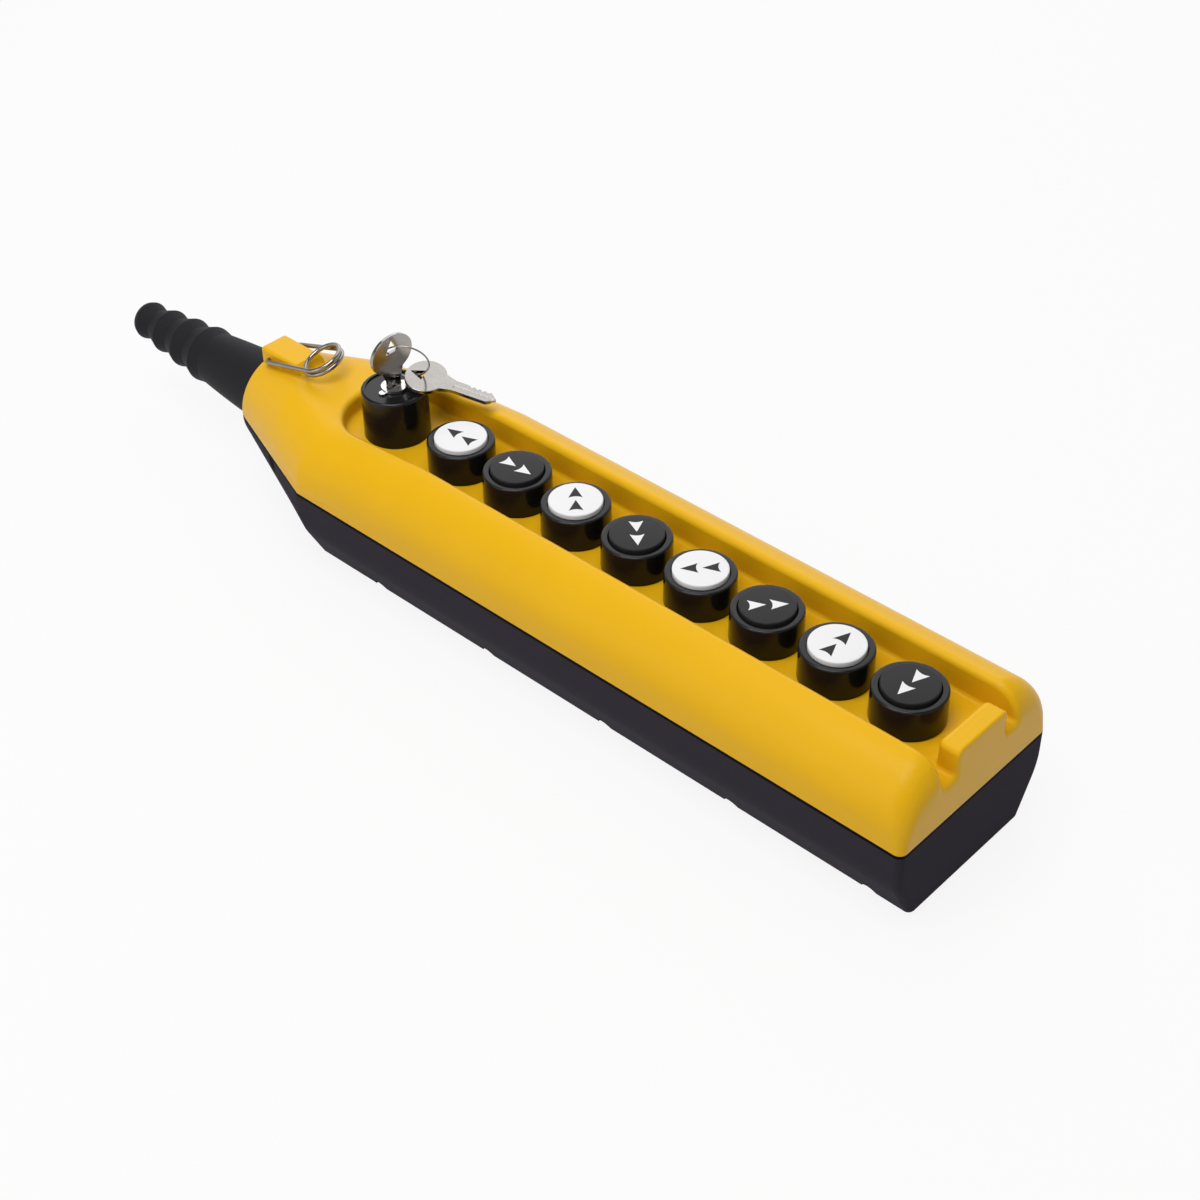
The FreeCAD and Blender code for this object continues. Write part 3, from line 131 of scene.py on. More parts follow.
def grains(start, size, detail=2.0, stretch=(1.0, 1.0, 1.0)):
    """Noise from 0 to 1 on the piece's own coordinates, with blotches about one size across."""
    place = start.node("TexCoord", output="Object")
    place = start.node("Mapping", None, {"Vector": place, "Scale": stretch})
    return start.node("TexNoise", None, {"Vector": place, "Scale": 1 / size, "Detail": detail})


def own_axis(start, axis):
    """The X, Y or Z of a place on the piece, in its own coordinates."""
    place = start.node("TexCoord", output="Object")
    return start.node("SeparateXYZ", None, {"Vector": place}, axis)


def between(start, factor, low, high):
    """Colour that goes from low to high as the factor goes from 0 to 1; high may be a signal."""
    colours = {"Factor": factor, 6: (*low, 1.0), 7: high if isinstance(high, Signal) else (*high, 1.0)}
    return start.node("Mix", {"data_type": "RGBA", "clamp_factor": True}, colours, 2)


def shade_and_dirt_within(start, colour, away, darkest, clear_at):
    """The colour with painted shade over it where the distance away is below the first limit, gone where it
    reaches the second; along the parting line it stands for dirt as well.
    """
    share = start.node("MapRange", None, {"Value": away, "From Min": darkest, "From Max": clear_at})
    return between(start, share, SHADE_AND_DIRT, colour)


def moulded(name, dull, bright, roughness, grain, depth, gloss=0.5, joint=None, bores=None):
    """Moulded plastic or rubber: a faint drift of colour, an eroded grain, and gloss that varies with both.
    A joint is the width of the band of painted shade of the joint gap, with some dirt, along the parting line
    of the covers.
    Bores are round holes with painted shade in and round them: first place and pitch along X, offset in Y,
    radius. The painted shade isn't limited in height or to the row: one pitch past the first hole it marks
    the flanks of the taper."""
    finish, start, shader = blank_finish(name)
    drift = grains(start, DRIFT_SIZE, 3.0)
    fine = grains(start, grain)
    colour = between(start, 0.75 * drift + 0.25 * fine, dull, bright)
    if joint:
        # Painted shade of the joint gap, with dirt, in a band along the parting line.
        away = abs(own_axis(start, "Z") - PARTING)
        colour = shade_and_dirt_within(start, colour, away, 0.6 * joint, joint)
    if bores:
        # Painted shade round each screw counterbore, darkest at its rim.
        first, pitch, offset, radius = bores
        along = start.maths("PINGPONG", own_axis(start, "X") - first, pitch / 2)
        across = abs(own_axis(start, "Y")) - offset
        reach = start.maths("SQRT", along * along + across * across)
        rim = 1.02 * radius
        colour = shade_and_dirt_within(start, colour, reach, rim, 1.08 * rim)
    feed(shader, Base_Color=colour)
    feed(shader, Roughness=roughness - 0.05 + 0.06 * drift + 0.04 * fine)
    feed(shader, Normal=start.node("Bump", None, {"Strength": 0.5, "Distance": depth, "Height": fine}))
    shader.inputs["Specular IOR Level"].default_value = gloss
    return finish


def joined_copy(node, name, crease):
    """The node's own surface as one skin: its triangles joined, shaded smooth up to a crease in degrees."""
    skin = bmesh.new()
    skin.from_mesh(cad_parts[node].data)
    bmesh.ops.remove_doubles(skin, verts=skin.verts, dist=SAME_POINT)
    bmesh.ops.dissolve_degenerate(skin, edges=skin.edges, dist=NO_LENGTH)
    bmesh.ops.triangulate(skin, faces=skin.faces)
    mesh = bpy.data.meshes.new(name)
    skin.to_mesh(mesh)
    skin.free()
    if "custom_normal" in mesh.attributes:
        mesh.attributes.remove(mesh.attributes["custom_normal"])
    mesh.materials.clear()
    mesh.shade_smooth()
    mesh.set_sharp_from_angle(angle=math.radians(crease))
    piece = bpy.data.objects.new(name, mesh)
    bpy.context.scene.collection.objects.link(piece)
    even = piece.modifiers.new("even_shading", "WEIGHTED_NORMAL")
    even.keep_sharp = True
    return piece


def fit(piece, finish, slot, body, *stands_for):
    """Give a piece its finish and put it on its body, in place of the nodes that it stands for."""
    piece.data.materials.append(finish)
    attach(piece, body)
    if stands_for:
        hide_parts(*stands_for)


first_screw = SCREW_LOW[0] + HEAD_RADIUS
screw_pitch = (SCREW_HIGH[0] - HEAD_RADIUS - first_screw) / (SCREWS_IN_ROW - 1)
screw_bores = (first_screw, screw_pitch, SCREW_HIGH[1] - HEAD_RADIUS, BORE_RADIUS)
# Its colour has painted shade, with dirt, along the parting line, and painted shade round the screw
# counterbores.
dark_shell = moulded("dark_shell", (0.030, 0.026, 0.0345), (0.038, 0.0333, 0.0437), roughness=0.62,
                     grain=0.5 * MM, depth=0.02 * MM, gloss=0.015, joint=1.6 * MM, bores=screw_bores)
rear_shell = joined_copy("rear_cover", "rear_shell", SHELL_CREASE)
fit(rear_shell, dark_shell, "dark_shell", "casing", "rear_cover")

# Cover seal and gaskets: a flat cord of soft rubber in a groove of the parting line, and a ring of the
# same under each switch. They are pressed between the covers and under the bezels, out of sight.
seal_rubber = moulded("seal_rubber", (0.012, 0.012, 0.013), (0.020, 0.020, 0.021), roughness=0.7,
                      grain=0.3 * MM, depth=0.01 * MM)


def coat(finish, *nodes):
    """Give nodes that are right as they are their finish."""
    for name in nodes:
        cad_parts[name].material_slots[0].material = finish


coat(seal_rubber, "cover_seal", "button_gaskets")

# Cable boot: black rubber, moulded as one long cone with four ridges that stiffen it less and less
# towards the tip. The two covers grip it by a flange behind the collar.
BOOT_LOW, BOOT_HIGH = (np.array(corner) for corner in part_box("cable_boot"))
BOOT_FACE = BOOT_HIGH[0]
BOOT_TIP = BOOT_LOW[0]
BOOT_AXIS = (BOOT_LOW[2] + BOOT_HIGH[2]) / 2
BOOT_BORE = 6.5 * MM
BOOT_BORE_LENGTH = 40 * MM
BOOT_MOUTH = 10.5 * MM
BOOT_TIP_RADIUS = 8.6 * MM
FLANGE_RADIUS = 19.6 * MM
FLANGE_DEPTH = 4 * MM
CONE_START = 8.5 * MM
CONE_RADIUS = 17.2 * MM
CONE_BOW = 0.45 * MM
CONE_END_RADIUS = 13.23 * MM
RIDGES = 4
RIDGE_PITCH = 15.75 * MM
CREST_FROM_TIP = 3.1 * MM
GROOVE_FROM_CREST = 6.55 * MM
CREST_RADIUS = 14.3 * MM
CREST_STEP = 1.53 * MM
CREST_SPARE = 0.06 * MM
GROOVE_DEPTH = 1.95 * MM
EVEN_TURN = np.linspace(0, 2 * np.pi, 128, endpoint=False)
POLE_REACH = 1e-7
TURNED_CREASE = 40.0


def solid(name, points, faces):
    """A closed mesh from points and faces: doubles merged, so that poles close, and faces turned outwards."""
    mesh = bpy.data.meshes.new(name)
    mesh.from_pydata(points.tolist(), [], faces.tolist())
    skin = bmesh.new()
    skin.from_mesh(mesh)
    bmesh.ops.remove_doubles(skin, verts=skin.verts, dist=POLE_REACH)
    bmesh.ops.recalc_face_normals(skin, faces=skin.faces)
    skin.to_mesh(mesh)
    skin.free()
    mesh.shade_smooth()
    mesh.set_sharp_from_angle(angle=math.radians(TURNED_CREASE))
    piece = bpy.data.objects.new(name, mesh)
    bpy.context.scene.collection.objects.link(piece)
    return piece


def grid_faces(rows, columns, closed_rows):
    """Quads of a grid whose columns close on themselves, and whose rows may too."""
    row = np.arange(rows if closed_rows else rows - 1)[:, None] * columns
    column = np.arange(columns)[None, :]
    after = (row + columns) % (rows * columns)
    beside = (column + 1) % columns
    corners = [row + column, row + beside, after + beside, after + column]
    return np.stack(np.broadcast_arrays(*corners), -1).reshape(-1, 4)


def turned(name, profile, centre, along="z"):
    """Surface of revolution: a profile point of radius r and height h, turned by t about the axis,
    lies at centre + h along the axis + r (cos t, sin t) across it. The profile is a closed outline."""
    across = profile[:, :1] * np.cos(EVEN_TURN)
    aside = profile[:, :1] * np.sin(EVEN_TURN)
    height = profile[:, 1:] * np.ones(len(EVEN_TURN))
    parts = {"z": (across, aside, height), "x": (height, across, aside)}[along]
    points = np.stack(parts, -1).reshape(-1, 3) + centre
    return solid(name, points, grid_faces(len(profile), len(EVEN_TURN), True))


def softened(corners, radii, steps=8):
    """Closed outline with each corner replaced by an arc of its own radius, tangent to both sides."""
    corners = np.array(corners, float)
    share = np.linspace(0, 1, steps + 1)[:, None]
    outline = []
    for place, radius in enumerate(radii):
        corner = corners[place]
        if radius == 0:
            outline.append(corner[None])
            continue
        back = corners[place - 1] - corner
        ahead = corners[(place + 1) % len(corners)] - corner
        back, ahead = back / np.linalg.norm(back), ahead / np.linalg.norm(ahead)
        half = math.acos(np.clip(back @ ahead, -1, 1)) / 2
        middle = corner + (back + ahead) / np.linalg.norm(back + ahead) * radius / math.sin(half)
        first = corner + back * radius / math.tan(half) - middle
        last = corner + ahead * radius / math.tan(half) - middle
        swing = math.pi - 2 * half
        arc = np.sin((1 - share) * swing) * first + np.sin(share * swing) * last
        outline.append(middle + arc / math.sin(swing))
    return np.concatenate(outline)


def boot_profile():
    """Half section of the boot: radius and place along the axis, from the bore round the flange, down the
    slightly bowed cone and over the ridges to the tip. A ridge climbs steeply from its groove and falls
    off slowly, and each is smaller than the one before by the same step."""
    flange, start = BOOT_FACE - FLANGE_DEPTH, BOOT_FACE - CONE_START
    ridge = np.arange(RIDGES)
    crest_at = BOOT_TIP + CREST_FROM_TIP + RIDGE_PITCH * ridge[::-1]
    groove_at = crest_at + GROOVE_FROM_CREST
    crest = CREST_RADIUS - CREST_STEP * ridge
    groove = np.append(CONE_END_RADIUS, crest[1:] - GROOVE_DEPTH)
    share = np.linspace(0, 1, 13)[:-1]
    cone = CONE_RADIUS + (groove[0] - CONE_RADIUS) * share + CONE_BOW * 4 * share * (1 - share)
    cone_at = start + (groove_at[0] - start) * share
    corners = [(BOOT_BORE, BOOT_TIP + BOOT_BORE_LENGTH), (BOOT_MOUTH, BOOT_FACE), (FLANGE_RADIUS, BOOT_FACE),
               (FLANGE_RADIUS, flange), (CONE_RADIUS, flange), *zip(cone, cone_at)]
    radii = [0, 0.5 * MM, 0.4 * MM, 0.4 * MM, 0.3 * MM] + [0] * len(cone)
    for number in ridge:
        corners += [(groove[number], groove_at[number]), (crest[number] + CREST_SPARE, crest_at[number])]
        radii += [0.7 * MM, 1.7 * MM]
    corners += [(BOOT_TIP_RADIUS, BOOT_TIP), (BOOT_BORE, BOOT_TIP)]
    radii += [0.9 * MM, 0.4 * MM]
    return softened(corners, radii)


boot_rubber = moulded("boot_rubber", (0.0135, 0.013, 0.0158), (0.0195, 0.019, 0.0225), roughness=0.6,
                      grain=0.7 * MM, depth=0.03 * MM, gloss=0.09)
boot = turned("boot", boot_profile(), (0, 0, BOOT_AXIS), "x")
fit(boot, boot_rubber, "boot_rubber", "casing", "cable_boot")

# Cable clamp and switch insides: a plastic bar with two screws behind the boot, and under each
# switch a contact block, with a plunger and a spring under each button. The closed casing hides them.
BUTTONS = range(1, 9)
WIRE_CREASE = 60.0
contact_plastic = moulded("contact_plastic", (0.30, 0.29, 0.27), (0.38, 0.37, 0.34), roughness=0.5,
                          grain=0.4 * MM, depth=0.01 * MM)


def metal(name, dull, bright, roughness, depth, brush=(1, 1, 1)):
    """Bare or plated metal: fine marks, drawn out along an axis, that vary its colour, gloss and relief."""
    finish, start, shader = blank_finish(name)
    marks = grains(start, 1.2 * MM, 3.0, brush)
    patches = grains(start, 6 * MM)
    feed(shader, Base_Color=between(start, 0.6 * marks + 0.4 * patches, dull, bright))
    feed(shader, Roughness=roughness - 0.06 + 0.08 * marks + 0.06 * patches)
    feed(shader, Normal=start.node("Bump", None, {"Strength": 0.25, "Distance": depth, "Height": marks}))
    shader.inputs["Metallic"].default_value = 1.0
    return finish


screw_steel = metal("screw_steel", (0.42, 0.42, 0.40), (0.60, 0.59, 0.55), roughness=0.34, depth=0.02 * MM)
spring_steel = metal("spring_steel", (0.35, 0.35, 0.35), (0.50, 0.50, 0.49), roughness=0.30,
                     depth=0.01 * MM, brush=(1, 1, 4))
coat(dark_shell, "cable_clamp")
coat(screw_steel, "clamp_screws", "terminal_screws", "lock_cam")
coat(contact_plastic, "key_switch_block")
for number in BUTTONS:
    coat(contact_plastic, "button_%d_block" % number, "button_%d_plunger" % number)
    spring = joined_copy("button_%d_spring" % number, "spring_%d" % number, WIRE_CREASE)
    fit(spring, spring_steel, "spring_steel", "casing", "button_%d_spring" % number)
    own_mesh(spring)

# Front cover: the yellow half shell with its two protecting rails, the sunk button channel, the guard
# between two drain valleys and the lug. Moulded in bright satin polypropylene.
# Its colour has a thin band of painted shade, with dirt, along the parting line.
yellow_shell = moulded("yellow_shell", (0.735, 0.402, 0.006), (0.795, 0.440, 0.008), roughness=0.33,
                       grain=0.6 * MM, depth=0.010 * MM, gloss=0.13, joint=0.35 * MM)
front_shell = joined_copy("front_cover", "front_shell", SHELL_CREASE)
fit(front_shell, yellow_shell, "yellow_shell", "casing", "front_cover")

# Hanging eye: one piece of polished spring wire, coiled one and a half times, with its two ends
# sprung into the holes of the lug. A chain or rope takes the weight of the control here.
eye_steel = metal("eye_steel", (0.20, 0.18, 0.165), (0.42, 0.39, 0.36), roughness=0.15, depth=0.004 * MM)
eye = joined_copy("hanging_eye", "eye", WIRE_CREASE)
fit(eye, eye_steel, "eye_steel", "eye", "hanging_eye")

# Lock nuts: moulded black hexagons, one for each switch. They run on the threads of the bezels and
# clamp them to the panel from inside.
black_plastic = moulded("black_plastic", (0.006, 0.0058, 0.006), (0.009, 0.0085, 0.009), roughness=0.15,
                        grain=0.4 * MM, depth=0.003 * MM, gloss=0.28)
coat(black_plastic, "button_lock_nuts")

# Bezels: tall round housings of glossy black plastic, turned in form, with a rounded rim and a deep
# cup for the cap. Each passes through the panel and is clamped from inside by its nut.
BEZEL_HEIGHT = 14.8 * MM
BEZEL_FOOT_RADIUS = 15.4 * MM
BEZEL_RIM_RADIUS = 15.2 * MM
CUP_RADIUS = 12.1 * MM
CUP_FLOOR = 4.5 * MM
SLEEVE_RADIUS = 11.0 * MM
SLEEVE_END = -9.5 * MM
GASKET_RADIUS = 13.9 * MM
GASKET_ROOM = 1.2 * MM
PLUNGER_BORE = 4.08 * MM
FLOOR = float(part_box("button_1_bezel")[1][2]) - BEZEL_HEIGHT


def bezel_profile():
    """Half section of a bezel: radius and height above the channel floor."""
    corners = [(PLUNGER_BORE, SLEEVE_END), (SLEEVE_RADIUS, SLEEVE_END), (SLEEVE_RADIUS, GASKET_ROOM),
               (GASKET_RADIUS, GASKET_ROOM), (GASKET_RADIUS, 0.0), (BEZEL_FOOT_RADIUS, 0.0),
               (BEZEL_RIM_RADIUS, BEZEL_HEIGHT), (CUP_RADIUS, BEZEL_HEIGHT), (CUP_RADIUS, CUP_FLOOR),
               (PLUNGER_BORE, CUP_FLOOR)]
    return softened(corners, np.array([0, 0.4, 0, 0, 0.2, 0.35, 0.9, 0.5, 0.8, 0]) * MM)


def button_place(number):
    """Foot of a button's axis on the channel floor."""
    low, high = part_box("button_%d_bezel" % number)
    return np.array([(low[0] + high[0]) / 2, 0.0, FLOOR])


for number in BUTTONS:
    bezel = turned("bezel_%d" % number, bezel_profile(), button_place(number))
    fit(bezel, black_plastic, "black_plastic", "casing", "button_%d_bezel" % number)

# Caps: satin discs with a rounded edge, white for one way and black for the other, that slide in the
# bezels. Two arrowheads in the other colour are let into the top.
CAP_TOP = 16.5 * MM
CAP_UNDERSIDE = 14.3 * MM
CAP_RADIUS = 11.8 * MM
SKIRT_RADIUS = 10.2 * MM
SKIRT_END = 10.2 * MM
ARROW_LENGTH = 7.4 * MM
ARROW_WIDTH = 6.2 * MM
ARROW_NOTCH = 0.9 * MM
ARROW_PITCH = 9.1 * MM
ARROW_SHIFT = 0.2 * MM
INLAY_PROUD = 0.03 * MM
INLAY_DEPTH = 0.5 * MM
POINTING = {1: (-1, 0), 2: (1, 0), 3: (-1, 1), 4: (1, -1), 5: (-1, -1), 6: (1, 1), 7: (0, 1), 8: (0, -1)}


def cap_profile():
    """Half section of a cap, from the inside of its skirt over the rounded edge to its middle."""
    corners = [(SKIRT_RADIUS, SKIRT_END), (CAP_RADIUS, SKIRT_END), (CAP_RADIUS, CAP_TOP), (0.0, CAP_TOP),
               (0.0, CAP_UNDERSIDE), (SKIRT_RADIUS, CAP_UNDERSIDE)]
    return softened(corners, np.array([0.2, 0.2, 0.6, 0, 0, 0.3]) * MM)


def arrow_pair(name, place, pointing):
    """Two arrowheads in tandem: each is an outline from barb over tip to barb with a base that bends in
    as a parabola, given a top and a bottom and turned to its direction."""
    side = np.linspace(-1, 1, 13)
    base = np.stack([ARROW_NOTCH * (1 - side ** 2), -side * ARROW_WIDTH / 2], -1)
    outline = np.concatenate([base, [[ARROW_LENGTH, 0.0]]]) + [ARROW_SHIFT - ARROW_LENGTH / 2, 0.0]
    both = np.concatenate([outline + [ARROW_PITCH / 2, 0.0], outline - [ARROW_PITCH / 2, 0.0]])
    ahead = np.array(pointing) / np.linalg.norm(pointing)
    flat = both @ np.array([ahead, [-ahead[1], ahead[0]]])
    levels = [CAP_TOP + INLAY_PROUD, CAP_TOP - INLAY_DEPTH]
    points = np.concatenate([np.column_stack([flat, np.full(len(flat), level)]) for level in levels]) + place
    count, total = len(outline), len(flat)
    faces = []
    for first in (0, count):
        ring = np.arange(count) + first
        beside = np.roll(ring, -1)
        faces += [ring.tolist(), (ring[::-1] + total).tolist()]
        faces += np.column_stack([ring, ring + total, beside + total, beside]).tolist()
    mesh = bpy.data.meshes.new(name)
    mesh.from_pydata(points.tolist(), [], faces)
    skin = bmesh.new()
    skin.from_mesh(mesh)
    bmesh.ops.triangulate(skin, faces=[face for face in skin.faces if len(face.verts) > 4])
    bmesh.ops.recalc_face_normals(skin, faces=skin.faces)
    skin.to_mesh(mesh)
    skin.free()
    piece = bpy.data.objects.new(name, mesh)
    bpy.context.scene.collection.objects.link(piece)
    return piece


white_cap = moulded("white_cap", (0.74, 0.735, 0.745), (0.80, 0.795, 0.80), roughness=0.36,
                    grain=0.4 * MM, depth=0.004 * MM, gloss=0.3)
black_cap = moulded("black_cap", (0.012, 0.0115, 0.013), (0.018, 0.017, 0.019), roughness=0.40,
                    grain=0.4 * MM, depth=0.006 * MM, gloss=0.18)
for number in BUTTONS:
    light = number % 2 == 1
    body = "button_%d" % number
    names = ("white_cap", "black_cap") if light else ("black_cap", "white_cap")
    finishes = (white_cap, black_cap) if light else (black_cap, white_cap)
    cap = turned("cap_%d" % number, cap_profile(), button_place(number))
    fit(cap, finishes[0], names[0], body, "button_%d_cap" % number)
    arrows = arrow_pair("arrows_%d" % number, button_place(number), POINTING[number])
    fit(arrows, finishes[1], names[1], body)

# Key switch: a taller black housing in the row with a sunk top, and in it the nickel lock barrel with
# its round face, pointer and keyway. A nut clamps the housing like the others.
lock_nickel = metal("lock_nickel", (0.78, 0.77, 0.75), (0.90, 0.89, 0.87), roughness=0.20, depth=0.004 * MM)
housing = joined_copy("key_switch_head", "lock_housing", SHELL_CREASE)
fit(housing, black_plastic, "black_plastic", "casing", "key_switch_head")
barrel = joined_copy("lock_barrel", "lock_face", SHELL_CREASE)
fit(barrel, lock_nickel, "lock_nickel", "lock", "lock_barrel")

# Keys and ring: two flat nickel-plated keys, stamped and milled, one in the lock and a spare, on a
# thin wire ring through their bows.
KEY_CREASE = 30.0
KEY_EDGE = 0.2 * MM
KEY_EDGE_ANGLE = 40.0
key_nickel = metal("key_nickel", (0.27, 0.255, 0.24), (0.45, 0.43, 0.41), roughness=0.17,
                   depth=0.006 * MM, brush=(1, 1, 6))


def stamped(node, name):
    """Flat stamped piece: the node's surface with its edges broken by a small round."""
    piece = joined_copy(node, name, KEY_CREASE)
    bevel = piece.modifiers.new("broken_edges", "BEVEL")
    bevel.width = KEY_EDGE
    bevel.segments = 2
    bevel.limit_method = "ANGLE"
    bevel.angle_limit = math.radians(KEY_EDGE_ANGLE)
    piece.modifiers.move(1, 0)
    return piece


fit(stamped("key", "key_in_lock"), key_nickel, "key_nickel", "key", "key")
fit(stamped("spare_key", "key_spare"), key_nickel, "key_nickel", "spare", "spare_key")
fit(joined_copy("key_ring", "ring_of_keys", WIRE_CREASE), eye_steel, "eye_steel", "ring", "key_ring")

# Cover screws: ten long zinc-plated pan head screws with a cross recess, driven from the back and
# seated at the bottom of their counterbores. The thread is rolled and ends in a short point.
HEAD_HEIGHT = 2.6 * MM
HEAD_ROUND = 1.0 * MM
THREAD_RADIUS = 2.0 * MM
THREAD_PITCH = 1.4 * MM
THREAD_DEPTH = 0.3 * MM
THREAD_START = 0.5 * MM
THREAD_STOP = 2.0 * MM
POINT_LENGTH = 1.8 * MM
RECESS_DEPTH = 1.5 * MM
RECESS_EDGE = 0.1 * MM
ARM_HALF_LENGTH = 2.1 * MM
ARM_HALF_WIDTH = 0.5 * MM


def screw_heads(name):
    """Screws as rings about upright axes: from the floor of the recess, whose radius at an angle t from an
    arm is the lesser of half length / cos t and half width / sin t, over the rounded head and its seat,
    and up the thread, whose radius rises and falls with height / pitch - turn, to the point."""
    arm = math.atan2(ARM_HALF_WIDTH, ARM_HALF_LENGTH)
    quarter = np.concatenate([np.linspace(-np.pi / 4, -arm, 5)[:-1], np.linspace(-arm, arm, 5),
                              np.linspace(arm, np.pi / 4, 5)[1:-1]])
    turn = (quarter + np.arange(4)[:, None] * np.pi / 2).ravel()
    slant = np.tile(np.abs(quarter), 4)
    cross = np.minimum(ARM_HALF_LENGTH / np.cos(slant), ARM_HALF_WIDTH / np.maximum(np.sin(slant), 1e-6))
    even = np.ones(len(turn))
    face, seat, top = SCREW_LOW[2], SCREW_LOW[2] + HEAD_HEIGHT, SCREW_HIGH[2]
    rings = [(0 * cross, face + RECESS_DEPTH), (0.6 * cross, face + RECESS_DEPTH),
             (cross, face + RECESS_EDGE), (cross * 1.04 + RECESS_EDGE / 2, face)]
    bend = np.linspace(0, np.pi / 2, 7)
    rim = HEAD_RADIUS - HEAD_ROUND * (1 - np.sin(bend))
    rings += list(zip(rim[:, None] * even, face + HEAD_ROUND * (1 - np.cos(bend))))
    rings += [(even * HEAD_RADIUS, seat), (even * THREAD_RADIUS, seat)]
    climb = np.arange(seat + THREAD_START, top - THREAD_STOP, THREAD_PITCH / 6)
    wave = 0.5 + 0.5 * np.cos(2 * np.pi * climb[:, None] / THREAD_PITCH - turn)
    rings += list(zip(THREAD_RADIUS - THREAD_DEPTH * (1 - wave), climb))
    rings += [(even * (THREAD_RADIUS - THREAD_DEPTH), top - POINT_LENGTH), (0 * even, top)]
    radius = np.stack([ring[0] for ring in rings])
    height = np.array([ring[1] for ring in rings])[:, None] * even
    one = np.stack([radius * np.cos(turn), radius * np.sin(turn), height], -1).reshape(-1, 3)
    along = first_screw + screw_pitch * np.arange(SCREWS_IN_ROW)
    side = np.array([SCREW_LOW[1] + HEAD_RADIUS, SCREW_HIGH[1] - HEAD_RADIUS])
    count = 2 * SCREWS_IN_ROW
    places = np.stack([np.repeat(along, 2), np.tile(side, SCREWS_IN_ROW), np.zeros(count)], -1)
    points = (one + places[:, None]).reshape(-1, 3)
    quads = grid_faces(len(rings), len(turn), False)
    return solid(name, points, (quads + len(one) * np.arange(count)[:, None, None]).reshape(-1, 4))


fit(screw_heads("cross_screws"), screw_steel, "screw_steel", "casing", "cover_screws")

# Studio: a wide pale floor under the control, a soft even surround and three large soft lamps: the
# strongest almost overhead, one behind for the sheen of the top, and a weak one in front.
FLOOR_REACH = 4.0
FLOOR_DROP = 0.2 * MM
FLOOR_GREY = 0.72
FLOOR_WHITE_SHARE = 0.88
HORIZON_LEVEL = 0.5
HORIZON_RISE = 0.1
OVERHEAD_LEVEL = 0.22
OVERHEAD_RISE = 0.5
WHITE = (1.0, 1.0, 1.0, 1.0)


def mirrored(start):
    """1 for rays off a shiny surface or through glass, 0 for the rest."""
    shine = start.node("LightPath", output="Is Glossy Ray")
    return start.maths("MAXIMUM", shine, start.node("LightPath", output="Is Transmission Ray"))


def seen_white(start):
    """1 for rays from the camera, off a shiny surface or through glass, 0 for the rest."""
    seen = start.node("LightPath", output="Is Camera Ray")
    return start.maths("MAXIMUM", seen, mirrored(start))


floor_corners = np.array([(-1, -1, 0), (1, -1, 0), (1, 1, 0), (-1, 1, 0)]) * FLOOR_REACH - [0, 0, FLOOR_DROP]
floor_mesh = bpy.data.meshes.new("floor")
floor_mesh.from_pydata(floor_corners.tolist(), [], [(0, 1, 2, 3)])
floor = bpy.data.objects.new("floor", floor_mesh)
bpy.context.scene.collection.objects.link(floor)
floor_paint = bpy.data.materials.new("floor_paint")
floor_paint.use_nodes = True
floor_paint.node_tree.nodes.clear()
paint = Signal(floor_paint.node_tree)
matt = paint.node("BsdfDiffuse", None, {"Color": (FLOOR_GREY, FLOOR_GREY, FLOOR_GREY, 1.0)})
glow = paint.node("Emission", None, {"Color": WHITE, "Strength": 1.0})
mixed = paint.node("MixShader", None, {0: FLOOR_WHITE_SHARE * seen_white(paint), 1: matt, 2: glow})
paint.node("OutputMaterial", None, {"Surface": mixed})
floor.data.materials.append(floor_paint)

world = bpy.data.worlds.new("studio")
world.use_nodes = True
world.node_tree.nodes.clear()
surround = Signal(world.node_tree)
way = surround.node("TexCoord", output="Generated")
rise = surround.node("SeparateXYZ", None, {"Vector": way}, "Z")
limits = {"From Min": HORIZON_RISE, "From Max": OVERHEAD_RISE, "To Min": 1.0, "To Max": 0.0}
near_horizon = surround.node("MapRange", None, {"Value": rise, **limits})
gain = HORIZON_LEVEL - OVERHEAD_LEVEL + (1.0 - HORIZON_LEVEL) * mirrored(surround)
level = OVERHEAD_LEVEL + near_horizon * gain
level = surround.maths("MAXIMUM", level, surround.node("LightPath", output="Is Camera Ray"))
sky = surround.node("Background", None, {"Color": WHITE, "Strength": level})
surround.node("OutputWorld", None, {"Surface": sky})
bpy.context.scene.world = world


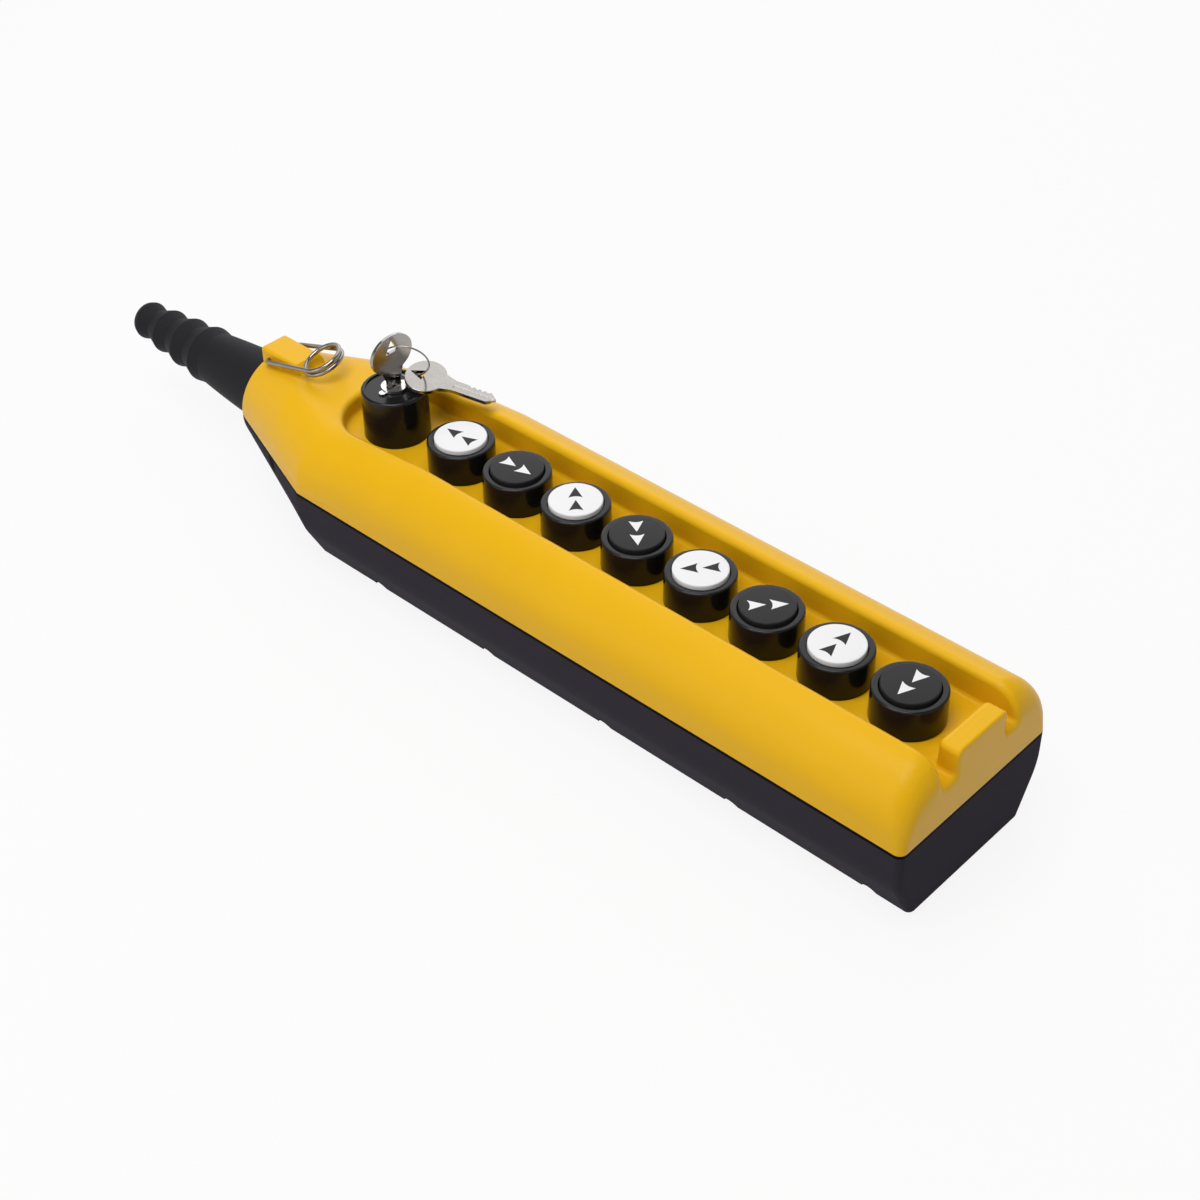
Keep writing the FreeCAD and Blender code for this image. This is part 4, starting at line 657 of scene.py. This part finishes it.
def lamp(name, place, aim, width, power):
    """A square soft lamp that faces a point."""
    light = bpy.data.lights.new(name, "AREA")
    light.size = width
    light.energy = power
    made = bpy.data.objects.new(name, light)
    away = np.array(place) - np.array(aim)
    away = away / np.linalg.norm(away)
    across = np.cross((0.0, 0.0, 1.0), away)
    across = across / np.linalg.norm(across)
    stand = np.eye(4)
    stand[:3, :3] = np.stack([across, np.cross(away, across), away], -1)
    stand[:3, 3] = place
    made.matrix_world = Matrix(stand.tolist())
    bpy.context.scene.collection.objects.link(made)


lamp("key_lamp", place=(0.1, -0.42, 1.45), aim=(0.05, 0.0, 0.05), width=1.0, power=15.0)
lamp("back_lamp", place=(-0.65, 0.9, 1.0), aim=(0.05, 0.0, 0.05), width=1.6, power=11.0)
lamp("fill_lamp", place=(-0.3, -1.4, 0.8), aim=(0.0, 0.0, 0.05), width=1.2, power=5.0)

# Camera: it stands where the photograph was taken from, which was fitted to the row of buttons and
# the long edges of the casing. Angles are about the point that it aims at.
LENS = 62.37
SENSOR = 36.0
NEAR_CLIP = 0.01
AZIMUTH = math.radians(43.55)
ELEVATION = math.radians(39.49)
ROLL = math.radians(-1.04)
AIM = np.array([0.05994, 0.0, 0.02799])
DISTANCE = 0.9050
level_out = np.array([math.sin(AZIMUTH), -math.cos(AZIMUTH), 0.0])
back = level_out * math.cos(ELEVATION) + np.array([0.0, 0.0, math.sin(ELEVATION)])
right = np.array([math.cos(AZIMUTH), math.sin(AZIMUTH), 0.0])
up = np.cross(back, right)
lens = bpy.data.cameras.new("camera")
lens.lens = LENS
lens.sensor_width = SENSOR
lens.sensor_fit = "HORIZONTAL"
lens.clip_start = NEAR_CLIP
camera = bpy.data.objects.new("camera", lens)
view = np.eye(4)
view[:3, 0] = math.cos(ROLL) * right + math.sin(ROLL) * up
view[:3, 1] = -math.sin(ROLL) * right + math.cos(ROLL) * up
view[:3, 2] = back
view[:3, 3] = AIM + DISTANCE * back
camera.matrix_world = Matrix(view.tolist())
bpy.context.scene.collection.objects.link(camera)
bpy.context.scene.camera = camera
bpy.context.scene.view_settings.view_transform = "Standard"
